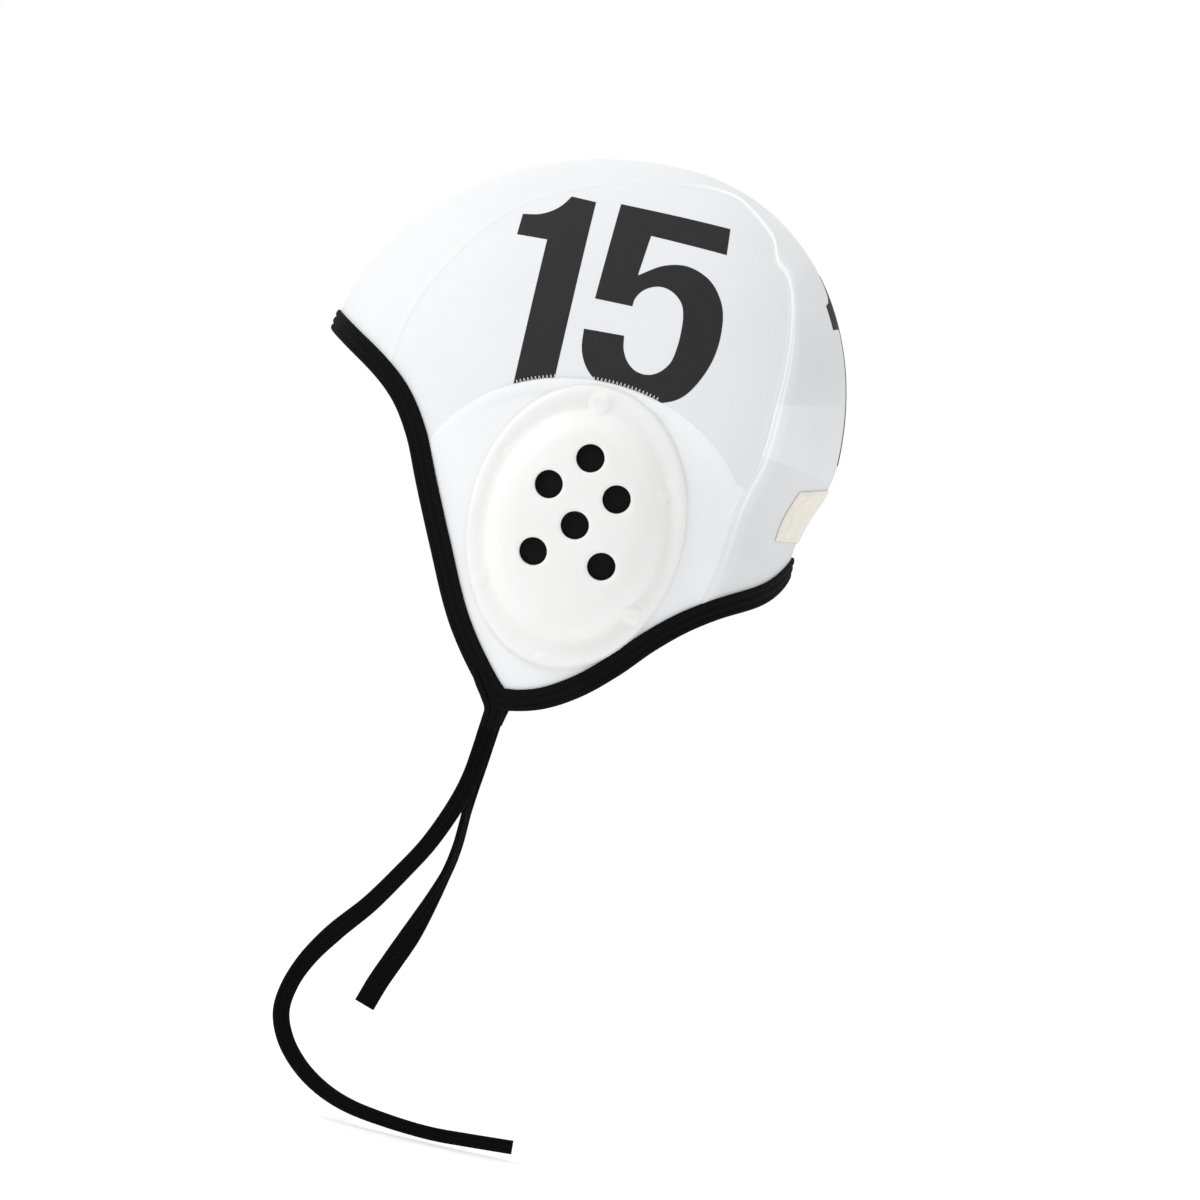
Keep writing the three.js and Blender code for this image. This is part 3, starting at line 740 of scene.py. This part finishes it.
def side_panel():
    top = seam_at(UPPER_TURNS, TOUCH)
    share, angle = front_corner(0)
    bottom = ear_edge_at(np.linspace(angle, EAR_CORNER, len(UPPER_TURNS)))
    seam_share = hem_seam_share("front", TOUCH)
    across = columns_across(101)
    front = hem_at("front", share + (seam_share - share) * across)
    rear = bottom[-1] * (1 - across[:, None]) + top[-1] * across[:, None]
    grid = patch_grid(bottom, top, front, rear, across)
    piece, points = cloth_piece("side_cloth_left", grid, seam_foot(grid), PANEL_CLOTH)
    # Painted light: the panel is made lighter towards the back
    set_tone(piece, 0.992 + 0.033 * smooth(-0.02, 0.04, points[:, 1]))
    return piece


def guard_outline(angle, share):
    """Y and z at an angle round the guard and a share of its reach."""
    rise = np.where(np.sin(angle) > 0, GUARD_UP, GUARD_DOWN)
    return EAR_Y + share * GUARD_REACH * np.cos(angle), EAR_Z + share * rise * np.sin(angle)


def ear_panel(name, stitches):
    """Panel round the left ear, from its edge in to the guard; its sewn edge is firmest over the print."""
    share, angle = front_corner(TOUCH)
    back_share = hem_seam_share("back", TOUCH)
    edges = [hem_at("front", np.linspace(share, 0, 90, endpoint=False)),
             hem_at("back", np.linspace(0, back_share, 80, endpoint=False)),
             seam_at(LOWER_TURNS[::-1], TOUCH),
             ear_edge_at(np.linspace(EAR_CORNER, angle, 210, endpoint=False), TOUCH)]
    on_arc = np.concatenate([np.full(len(part), value) for part, value in zip(edges, (0, 0, 0, 1))])
    edge = np.vstack(edges)
    way = np.arctan2(edge[:, 2] - EAR_Z, edge[:, 1] - EAR_Y)
    rise = np.where(edge[:, 2] > EAR_Z, GUARD_UP, GUARD_DOWN)
    way = np.arctan2(np.sin(way) / rise, np.cos(way) / GUARD_REACH)
    y, z = guard_outline(way, GUARD_OPENING)
    across = np.linspace(0, 1, 47)[None] ** 1.45
    grid = skin_beside(edge[:, 1:2] * (1 - across) + y[:, None] * across,
                       edge[:, 2:3] * (1 - across) + z[:, None] * across)
    d = distances(grid)[0] * 1000
    least, greatest = stitches
    y_edge = edge[:, 1:2]
    over_print = smooth(least - 0.012, least, y_edge) * (1 - smooth(greatest, greatest + 0.008, y_edge))
    ramp = smooth(-0.1, 1.3, d) * over_print + smooth(-0.1, 2.6, d) * (1 - over_print)
    lip = on_arc[:, None] * (0.03 + (0.22 + 0.38 * over_print) * ramp * (1 - smooth(2.6, 6.4, d)))
    height = lip / 1000 + seam_foot(grid) * smooth(0.02, 0.03, grid[..., 1])
    piece, points = cloth_piece(name, grid, height, EAR_CLOTH, ring=True)
    # Painted light: the panel is made lighter towards the back, with a painted highlight in a band along the
    # upper part of its raised sewn edge, widest at the back
    reach = np.hypot((points[:, 1] - EAR_Y) / EAR_REACH, (points[:, 2] - EAR_Z) / EAR_RISE)
    from_arc = (1 - reach) * EAR_RISE * 1000
    upper = smooth(-0.02, 0.01, points[:, 2] - EAR_Z)
    rear = smooth(0.0, 0.02, points[:, 1])
    arc_highlight = 0.01 * bump(from_arc, 1.8, 2.6) + 0.045 * rear * bump(from_arc, 0.5, 8.0)
    set_tone(piece, 0.99 + 0.025 * rear + upper * arc_highlight)
    return piece


place(strip_panel(), "crown_strip", "cloth")
side_left = side_panel()
place(mirror("side_cloth_right", side_left), "side_panel_right", "panel_cloth")
place(side_left, "side_panel_left", "panel_cloth")
place(flipped(ear_panel("ear_cloth_right", RIGHT_STITCHES)), "ear_panel_right", "cloth")
place(ear_panel("ear_cloth_left", LEFT_STITCHES), "ear_panel_left", "cloth")


# Tape folded over the rim
# Section: distance in from the fold and height over the cloth, in millimetres
TAPE_SECTION = [
    (8.25, 0.30), (8.3, 0.75), (8.1, 1.15), (7.6, 1.4), (6.9, 1.5), (6.2, 1.42), (5.75, 1.12),
    (5.5, 0.98), (5.25, 1.12), (4.8, 1.45), (4.1, 1.56), (3.4, 1.47), (2.95, 1.15), (2.7, 1.0),
    (2.45, 1.15), (2.0, 1.44), (1.4, 1.5), (0.8, 1.36), (0.35, 0.95), (0.08, 0.3), (0.0, -0.8),
    (0.08, -1.9), (0.4, -2.6), (1.2, -3.0), (2.6, -3.05), (4.1, -3.1), (6.0, -3.08), (7.6, -3.05),
    (8.1, -2.8), (8.2, -2.1), (7.6, -2.0), (4.1, -2.0), (1.2, -2.0), (1.2, 0.3), (4.1, 0.3), (7.6, 0.3),
]

# Length of the stretch that is drawn in at each tip, as a share of the tape's width
TIP_EASE = 1.15


def rim_tape(name, rim, stations):
    """Tape along one rim; near each tip its stations are drawn in straight from the tip itself."""
    curve = RIMS[rim][0]
    margin = TIP_EASE * TAPE_WIDTH / curve.length
    by_tip = np.linspace(0, margin, 9)[:-1]
    shares = np.concatenate([by_tip, np.linspace(margin, 1 - margin, stations), 1 - by_tip[::-1]])
    near = (shares > 0) & (shares < margin)
    far = (shares < 1) & (shares > 1 - margin)
    loops = []
    for distance, height in TAPE_SECTION:
        square = inset_at(rim, shares, np.full(shares.shape, distance / 1000))
        tips = inset_at(rim, np.array([0.0, 1.0]), np.full(2, distance / 1000))
        ends = inset_at(rim, np.array([margin, 1 - margin]), np.full(2, distance / 1000))
        for mask, tip, end, weight in ((near, tips[0], ends[0], shares[near] / margin),
                                       (far, tips[1], ends[1], (1 - shares[far]) / margin)):
            w = weight[:, None]
            square[mask] = on_skin(tip * (1 - w) + end * w)
        loops.append(raised(square, np.full(shares.shape, height / 1000)))
    piece = loft(name, np.stack(loops, axis=1), TAPE, 70)
    unwrap_along(piece, curve.at(np.linspace(0, 1, 700)))
    return piece


place(rim_tape("front_tape", "front", 520), "front_binding", "black_tape")
place(rim_tape("back_tape", "back", 400), "back_binding", "black_tape")


# Ear guards
# Outer face of the guard from its middle to its edge: reach and rise as shares
GUARD_ROWS = [
    (0, 1), (0.38, 0.96), (0.58, 0.84), (0.69, 0.66), (0.765, 0.4), (0.815, 0.235), (0.86, 0.205),
    (0.91, 0.235), (0.96, 0.235), (1, 0.13),
]
HOLES = [(0, 2), (-1, 1), (1, 1), (0, 0), (-1, -1), (1, -1)]
HOLE_PITCH, HOLE_RADIUS = 0.012, 0.0051
# Round marks on the flange: turn in degrees, share of the reach, radius and rise in millimetres
LUGS = [
    (25, 0.79, 2.3, 0.5), (92, 0.86, 4.0, 0.55), (152, 0.82, 2.6, 0.3), (214, 0.89, 2.6, 0.3),
    (268, 0.93, 2.4, 0.3), (323, 0.85, 3.4, 1.0),
]
# A smaller spot stands this far back from and above the middle of each mark
SPOT_Y, SPOT_Z = 0.0025, 0.0036
HOLE_CENTRES = [(EAR_Y + along * HOLE_PITCH, EAR_Z + rise * HOLE_PITCH) for along, rise in HOLES]
GUARD_WALL, THIN_WALL = 0.002, 0.0004
# Wall, depth below the guard, pitch and ripple of the dark disc that paints the shade in the holes
HOLE_SHADE_WALL, HOLE_SHADE_BELOW, HOLE_SHADE_PITCH, HOLE_SHADE_RIPPLE = 0.001, 0.0006, 0.0016, 0.00008


def guard_rise(share):
    """Share of the guard's rise at a share of its reach."""
    t, v = np.array(GUARD_ROWS).T
    slope = np.gradient(v, t)
    slope[0] = 0
    i = np.clip(np.searchsorted(t, share, side="right") - 1, 0, len(t) - 2)
    return hermite(t, v, slope, i, share)


def guard_grid(count, shares):
    """Angles round the guard by shares of its reach: y, z, the points on the skin and the guard's rise."""
    angles = np.linspace(0, 2 * np.pi, count, endpoint=False)[:, None]
    y, z = guard_outline(angles, shares)
    return y, z, skin_beside(y, z), guard_rise(np.broadcast_to(shares, y.shape)) * GUARD_RISE


def hole_cutter(y, z):
    """Round bar square to the skin, as wide as a hole."""
    foot = skin_beside(y, z)
    work = bmesh.new()
    bmesh.ops.create_cone(work, cap_ends=True, segments=72, radius1=HOLE_RADIUS, radius2=HOLE_RADIUS,
                          depth=0.04)
    mesh = bpy.data.meshes.new("cutter")
    work.to_mesh(mesh)
    work.free()
    cutter = new_object("cutter", mesh)
    turn = Vector(normal_at(foot)).to_track_quat("Z", "Y").to_matrix().to_4x4()
    cutter.matrix_world = Matrix.Translation(Vector(foot)) @ turn
    return cutter


def cut_holes(piece):
    cutters = [hole_cutter(y, z) for y, z in HOLE_CENTRES]
    for cutter in cutters:
        boolean = piece.modifiers.new("hole", "BOOLEAN")
        boolean.operation = "DIFFERENCE"
        boolean.solver = "EXACT"
        boolean.object = cutter
    bpy.context.view_layer.update()
    evaluated = piece.evaluated_get(bpy.context.evaluated_depsgraph_get())
    cut = bpy.data.meshes.new_from_object(evaluated)
    piece.modifiers.clear()
    old = piece.data
    piece.data = cut
    cut.name = piece.name
    bpy.data.meshes.remove(old)
    for cutter in cutters:
        bpy.data.objects.remove(cutter)
    cut.shade_smooth()
    cut.set_sharp_from_angle(angle=math.radians(45))


def guard_piece():
    shares = np.concatenate([np.linspace(0.0, 0.62, 60), np.linspace(0.63, 0.985, 64), [0.992, 0.997, 1.0]])
    shares = shares[None]
    y, z, grid, height = guard_grid(240, shares)
    for turn, share, radius, rise in LUGS:
        mark_y, mark_z = guard_outline(np.radians(turn), share)
        d = np.hypot(y - mark_y, z - mark_z) * 1000
        groove = 0.00018 * bump(d, radius + 0.7, 0.8)
        height = height + rise / 1000 * (1 - smooth(radius - 1.5, radius + 0.6, d)) - groove
        d = np.hypot(y - mark_y - SPOT_Y, z - mark_z - SPOT_Z) * 1000
        height = height + 0.6 * rise / 1000 * (1 - smooth(1.4, 3.2, d))
    for hole_y, hole_z in HOLE_CENTRES:
        from_rim = np.hypot(y - hole_y, z - hole_z) * 1000 - HOLE_RADIUS * 1000
        height = height - 0.0005 * (1 - smooth(-0.6, 1.0, from_rim))
    height = height - 0.0007 * smooth(0.975, 1.0, shares)
    outer = raised(grid, np.maximum(height, CLEAR + THIN_WALL))
    under = np.where(shares > GUARD_OPENING, CLEAR, np.maximum(height - GUARD_WALL, CLEAR))
    inner = raised(grid, np.minimum(under, np.maximum(height - THIN_WALL, CLEAR)))
    piece = shell("guard_left", outer, inner, PLASTIC, ring=True, sharp=60)
    cut_holes(piece)
    return piece


# Dark woven disc under each guard: it paints the shade seen through the guard's holes
def hole_shade_disc():
    y, z, grid, height = guard_grid(96, np.linspace(0, 0.64, 24)[None])
    top = np.maximum(height - GUARD_WALL - HOLE_SHADE_BELOW, 0.0002)
    ripple = HOLE_SHADE_RIPPLE * np.sin(y * 2 * np.pi / HOLE_SHADE_PITCH) * np.sin(z * 2 * np.pi / HOLE_SHADE_PITCH)
    inner = raised(grid, top - HOLE_SHADE_WALL)
    return shell("mesh_left", raised(grid, top + ripple), inner, HOLE_SHADE_BLACK, ring=True)


guard_left = guard_piece()
place(mirror("guard_right", guard_left), "ear_guard_right", "guard_plastic")
place(guard_left, "ear_guard_left", "guard_plastic")
mesh_left = hole_shade_disc()
place(mirror("mesh_right", mesh_left), "ear_mesh_right", "dark_mesh")
place(mesh_left, "ear_mesh_left", "dark_mesh")


# Label on the back of the strip
LABEL_HALF, LABEL_DEEP = 0.0447, 0.0215
# Upper and lower edge: z at the middle, and how much lower the ends lie
LABEL_TOP, LABEL_FOOT = (-0.1036, 0.0046), (-0.1256, 0.0022)


def label_point(x, down):
    """Point on the back skin: x across, and down from 0 at the label's top edge to 1 at its lower edge."""
    x, down = np.broadcast_arrays(np.asarray(x, float), np.asarray(down, float))
    top, foot = (middle - drop * (x / LABEL_HALF) ** 2 for middle, drop in (LABEL_TOP, LABEL_FOOT))
    z = top * (1 - down) + foot * down
    turn = np.full(x.shape, -15.0)
    for _ in range(12):
        reach = np.linalg.norm((skin_across(turn, x) - (0, 0, HUB_Z))[..., 1:], axis=-1)
        turn = np.degrees(np.arcsin((z - HUB_Z) / reach))
    return skin_across(turn, x)


def label_piece():
    across = np.linspace(1, -1, 161)[:, None] * LABEL_HALF
    down = np.linspace(0, 1, 45)[None]
    grid = label_point(across, down)
    edge = np.minimum(LABEL_HALF - np.abs(across), np.minimum(down, 1 - down) * LABEL_DEEP) * 1000
    height = (0.45 + 0.4 * smooth(0, 0.5, edge) - 0.1 * bump(edge, 1.5, 0.35)) / 1000
    inner = raised(grid, np.full(grid.shape[:2], 0.0002))
    return shell("label_patch", raised(grid, height), inner, LABEL)


place(label_piece(), "back_label", "cream_label")


# Printed numbers

def rounded(*points):
    """Stretch of an outline, as a smooth curve through a few points."""
    flat = Curve([(0, a, b) for a, b in points])
    return [tuple(p[1:]) for p in flat.at(np.linspace(0, 1, 6 * (len(points) - 1) + 1))]


# Outlines in the side view, y and z in millimetres
ONE = [
    (-36.4, -22.3), (-27.2, -22.6), (-27.0, -100.0), (-41.0, -100.0), (-41.2, -40.5), (-52.4, -40.8),
    *rounded((-52.2, -32.7), (-46.1, -31.5), (-41.6, -29.0), (-38.6, -26.0), (-36.4, -22.3))[:-1],
]
FIVE = [
    (-18.2, -21.3), (22.6, -21.0), (23.3, -31.2), (-4.9, -30.8),
    *rounded((-6.3, -46.4), (2.2, -40.7), (10.5, -39.0), (19.5, -42.2), (25.6, -50.0), (27.6, -60.0),
             (26.6, -71.0), (22.2, -81.7), (18.4, -86.4), (14.0, -88.9), (8.0, -90.5), (-2.0, -90.5),
             (-12.4, -87.0), (-17.3, -82.5), (-19.9, -77.0), (-20.8, -69.7)),
    *rounded((-6.2, -69.0), (-5.2, -74.0), (-3.0, -77.8), (0.5, -80.4), (4.9, -80.9), (8.7, -79.2),
             (12.1, -74.9), (13.3, -68.5), (13.4, -63.0), (12.9, -57.4), (11.3, -52.9), (7.6, -49.7),
             (3.6, -48.6), (0.0, -49.3), (-3.4, -51.6), (-5.4, -55.0), (-5.7, -57.9)),
    (-19.4, -58.1),
]
# The right number is moved back from a mirrored one by twice this, so that it fits in its panel
RIGHT_BACK = 0.0045
# Outlines of the back number: millimetres across to the wearer's left, and turn in degrees
BACK_ONE = [
    (16.5, 48.9), (4.0, 48.9), (4.0, 0.5), (17.0, 0.5), (17.0, 35.3), (30.5, 35.3),
    *rounded((30.5, 41.6), (24.5, 42.3), (19.5, 44.6), (16.5, 48.9))[:-1],
]
BACK_FIVE = [
    (-2.5, 48.9), (-32.0, 48.9), (-32.0, 42.2), (-11.6, 42.2),
    *rounded((-12.6, 31.5), (-18.5, 34.3), (-24.5, 34.6), (-31.0, 30.8), (-34.6, 24.0), (-35.0, 16.5),
             (-33.2, 9.0), (-28.5, 3.0), (-21.5, 0.2), (-13.5, 0.1), (-6.5, 2.6), (-2.8, 7.2), (-1.6, 13.6)),
    *rounded((-12.2, 14.4), (-13.3, 9.6), (-17.0, 7.1), (-21.0, 8.2), (-23.6, 12.2), (-24.2, 18.0),
             (-22.8, 24.2), (-19.4, 27.2), (-15.4, 26.8), (-12.8, 23.6)),
    (-2.4, 21.6),
]
# Size of the cells of ink, in millimetres or degrees, and the ink's two faces over the cloth, in metres
INK_CELL = 1.5
PRINT_FOOT, PRINT_TOP = 0.00001, 0.00008
# How far the side numbers run on under the edge of the ear panel
PRINT_UNDER = 0.0007


def flat_polygon(outline, cell):
    """Triangulated polygon cut into small cells, in the y-z plane."""
    work = bmesh.new()
    verts = [work.verts.new((0, a, b)) for a, b in outline]
    work.faces.new(verts)
    ys, zs = [p[0] for p in outline], [p[1] for p in outline]
    for axis, low, high in ((1, min(ys), max(ys)), (2, min(zs), max(zs))):
        value = low + cell
        while value < high:
            where, normal = [0, 0, 0], [0, 0, 0]
            where[axis], normal[axis] = value, 1
            geometry = work.verts[:] + work.edges[:] + work.faces[:]
            bmesh.ops.bisect_plane(work, geom=geometry, plane_co=where, plane_no=normal, dist=1e-6)
            value += cell
    bmesh.ops.triangulate(work, faces=[f for f in work.faces if len(f.verts) > 4])
    work.verts.index_update()
    points = np.array([v.co for v in work.verts])
    faces = [tuple(v.index for v in f.verts) for f in work.faces]
    work.free()
    return points, faces


def print_piece(name, outlines, to_surface, hidden=None):
    """Closed thin layer of ink over the outlines, less the cells whose corners are all hidden."""
    flat, cells = [], []
    for outline in outlines:
        points, faces = flat_polygon(outline, INK_CELL)
        offset = sum(len(p) for p in flat)
        flat.append(points[:, 1:])
        cells += [tuple(i + offset for i in face) for face in faces]
    surface = to_surface(*np.vstack(flat).T)
    if hidden is not None:
        under = hidden(surface)
        cells = [cell for cell in cells if not under[list(cell)].all()]
    used = sorted({i for cell in cells for i in cell})
    order = {old: new for new, old in enumerate(used)}
    cells = [tuple(order[i] for i in cell) for cell in cells]
    surface = surface[used]
    count = len(surface)
    sides = {}
    for cell in cells:
        for a, b in zip(cell, cell[1:] + cell[:1]):
            sides.setdefault(frozenset((a, b)), []).append((a, b))
    walls = [(a, b, b + count, a + count) for pairs in sides.values() if len(pairs) == 1 for a, b in pairs]
    below = [tuple(i + count for i in cell) for cell in cells]
    points = np.vstack([raised(surface, np.full(count, height)) for height in (PRINT_TOP, PRINT_FOOT)])
    return mesh_object(name, points, cells + below + walls, INK, 60)


def under_ear_panel(points):
    reach = (points[:, 1] - EAR_Y) / (EAR_REACH - PRINT_UNDER)
    rise = (points[:, 2] - EAR_Z) / (EAR_RISE - PRINT_UNDER)
    return np.hypot(reach, rise) < 1


def on_left(y, z):
    return skin_beside(y / 1000, z / 1000)


def on_right(y, z):
    """The same outline on the right side, turned about the number's middle so that it reads 15 too."""
    middle = (min(p[0] for p in ONE) + max(p[0] for p in FIVE)) / 2000 + RIGHT_BACK
    return skin_beside(2 * middle - y / 1000, z / 1000) * np.array((-1, 1, 1))


def on_back(x, turn):
    return skin_across(turn, x / 1000)


place(print_piece("number_left", [ONE, FIVE], on_left, under_ear_panel), None, "black_tape")
place(print_piece("number_right", [ONE, FIVE], on_right, under_ear_panel), None, "black_tape")
place(print_piece("number_back", [BACK_ONE, BACK_FIVE], on_back), None, "black_tape")


# Thread
# Stations along a stitch and sides round it
STITCH_STEPS, STITCH_SIDES = 5, 6


def thread_piece(name, starts, ends, radius):
    """Short stitches between matching points, each a small bowed closed tube."""
    steps, sides = STITCH_STEPS, STITCH_SIDES
    points, faces = [], []
    for start, end, out in zip(starts, ends, normal_at((starts + ends) / 2)):
        along = (end - start) / np.linalg.norm(end - start)
        aside = np.cross(along, out)
        base = len(points)
        for k in range(steps):
            s = k / (steps - 1)
            centre = start + (end - start) * s + out * radius * (0.5 * math.sin(math.pi * s) - 0.2)
            r = radius * (0.55 + 0.45 * math.sin(math.pi * min(max(s, 0.12), 0.88)))
            for j in range(sides):
                a = 2 * math.pi * j / sides
                points.append(centre + (aside * math.cos(a) + out * math.sin(a)) * r)
        for k in range(steps - 1):
            for j in range(sides):
                m = (j + 1) % sides
                faces.append((base + k * sides + j, base + k * sides + m,
                              base + (k + 1) * sides + m, base + (k + 1) * sides + j))
        faces.append(tuple(base + j for j in range(sides)))
        faces.append(tuple(base + (steps - 1) * sides + j for j in reversed(range(sides))))
    return mesh_object(name, points, faces, THREAD, 60)


def arc_stitches(name, stitches):
    """Zigzag over the edge of the left ear panel where it crosses the print, which shows it."""
    _, angle = front_corner(0)
    angles = np.linspace(EAR_CORNER + 1.5, angle - 1.5, 211)
    outside = raised(ear_edge_at(angles, -0.0011), np.full(len(angles), 0.00005))
    inside = raised(ear_edge_at(angles, 0.0017), np.full(len(angles), 0.00056))
    zig = np.where((np.arange(len(angles)) % 2 == 0)[:, None], outside, inside)
    shown = (zig[:-1, 1] > stitches[0]) & (zig[:-1, 1] < stitches[1])
    return thread_piece(name, zig[:-1][shown], zig[1:][shown], 0.0001)


def label_stitches():
    """Running stitches inside the label's border; edge is a share of its depth."""
    half, edge = LABEL_HALF - 0.0014, 0.065
    across, down = np.linspace(-half, half, 42), np.linspace(edge, 1 - edge, 11)
    starts, ends = [], []
    for row in (edge, 1 - edge):
        starts.append(label_point(across[:-1] + 0.0003, row))
        ends.append(label_point(across[1:] - 0.0003, row))
    for x in (-half, half):
        starts.append(label_point(x, down[:-1] + 0.015))
        ends.append(label_point(x, down[1:] - 0.015))
    starts, ends = np.vstack(starts), np.vstack(ends)
    lift = np.full(len(starts), 0.0008)
    return thread_piece("label_stitches", raised(starts, lift), raised(ends, lift), 0.00014)


place(flipped(arc_stitches("cover_stitches_right", RIGHT_STITCHES)), None, "cloth")
place(arc_stitches("cover_stitches_left", LEFT_STITCHES), None, "cloth")
place(label_stitches(), None, "cream_label")


# Where the tape runs on into the tie, at the tip of each flap
# Middle line in the side view, y and z, with the width and the thickness, in millimetres
TIP_ROWS = [
    (-30.6, -195.0, 7.4, 4.0), (-27.4, -200.4, 7.9, 5.0), (-24.2, -205.0, 8.1, 5.3),
    (-22.3, -208.6, 8.0, 5.2), (-21.7, -212.0, 7.3, 4.0), (-22.2, -215.8, 6.7, 2.5),
    (-22.7, -219.6, 6.0, 1.7),
]


def tip_tape():
    rows = np.array(TIP_ROWS) / 1000
    middle = skin_beside(rows[:, 0], rows[:, 1])[:, 0] - 0.00075
    middle[3:] = np.linspace(middle[3], 0.0572, len(rows) - 3)
    points = np.stack([middle, rows[:, 0], rows[:, 1]], axis=1)
    share = np.linspace(0, 1, len(rows))
    widths, thicknesses = list(zip(share, rows[:, 2])), list(zip(share, rows[:, 3]))
    return tape_along("tip_tape_left", points, 80, widths, [(0, 0)], thicknesses, TAPE)[0]


tip_left = tip_tape()
place(mirror("tip_tape_right", tip_left), None, "black_tape")
place(tip_left, None, "black_tape")


# Light, floor and world
LIGHT_AIM = Vector((0, 0, -0.13))
# Place, side of the square and power
LIGHTS = {
    "key_light": ((0.9, -1.3, 1.09), 0.7, 13.5),
    "far_side_light": ((-1.5, -0.6, 0.9), 1.2, 5),
    "rear_light": ((-0.5, 1.6, 0.8), 1.2, 3),
}
# The camera sees a white surround; the part is lit by a dimmer one, so that its shape reads
SURROUND_LIGHT, SURROUND_SEEN = 0.75, 1.0
FLOOR_RADIUS, FLOOR_Z, FLOOR_GLOW = 0.6, -0.3712, 0.22


def area_light(name, at, side, power):
    data = bpy.data.lights.new(name, "AREA")
    data.shape = "RECTANGLE"
    data.size = data.size_y = side
    data.energy = power
    light = new_object(name, data)
    light.location = at
    light.rotation_mode = "QUATERNION"
    light.rotation_quaternion = (LIGHT_AIM - Vector(at)).to_track_quat("-Z", "Y")


def white_surround():
    world = bpy.data.worlds.new("world")
    bpy.context.scene.world = world
    world.use_nodes = True
    tree = world.node_tree
    background = next(n for n in tree.nodes if n.type == "BACKGROUND")
    seen = add(tree, "ShaderNodeLightPath").outputs["Is Camera Ray"]
    strength = map_range(tree, seen, To_Min=SURROUND_LIGHT, To_Max=SURROUND_SEEN)
    set_inputs(tree, background, {"Color": (1, 1, 1, 1), "Strength": strength})


def white_floor():
    mesh = bpy.data.meshes.new("floor")
    work = bmesh.new()
    bmesh.ops.create_circle(work, cap_ends=True, segments=96, radius=FLOOR_RADIUS)
    work.to_mesh(mesh)
    work.free()
    material, _, _ = new_material(
        "floor_white", Base_Color=(0.9, 0.9, 0.9, 1), Roughness=0.9, Emission_Color=(1, 1, 1, 1),
        Emission_Strength=FLOOR_GLOW)
    mesh.materials.append(material)
    floor = new_object("floor", mesh)
    floor.location = (0, 0, FLOOR_Z)
    return floor


for name, (at, side, power) in LIGHTS.items():
    area_light(name, at, side, power)
white_surround()
white_floor()
bpy.context.scene.view_settings.view_transform = "Standard"
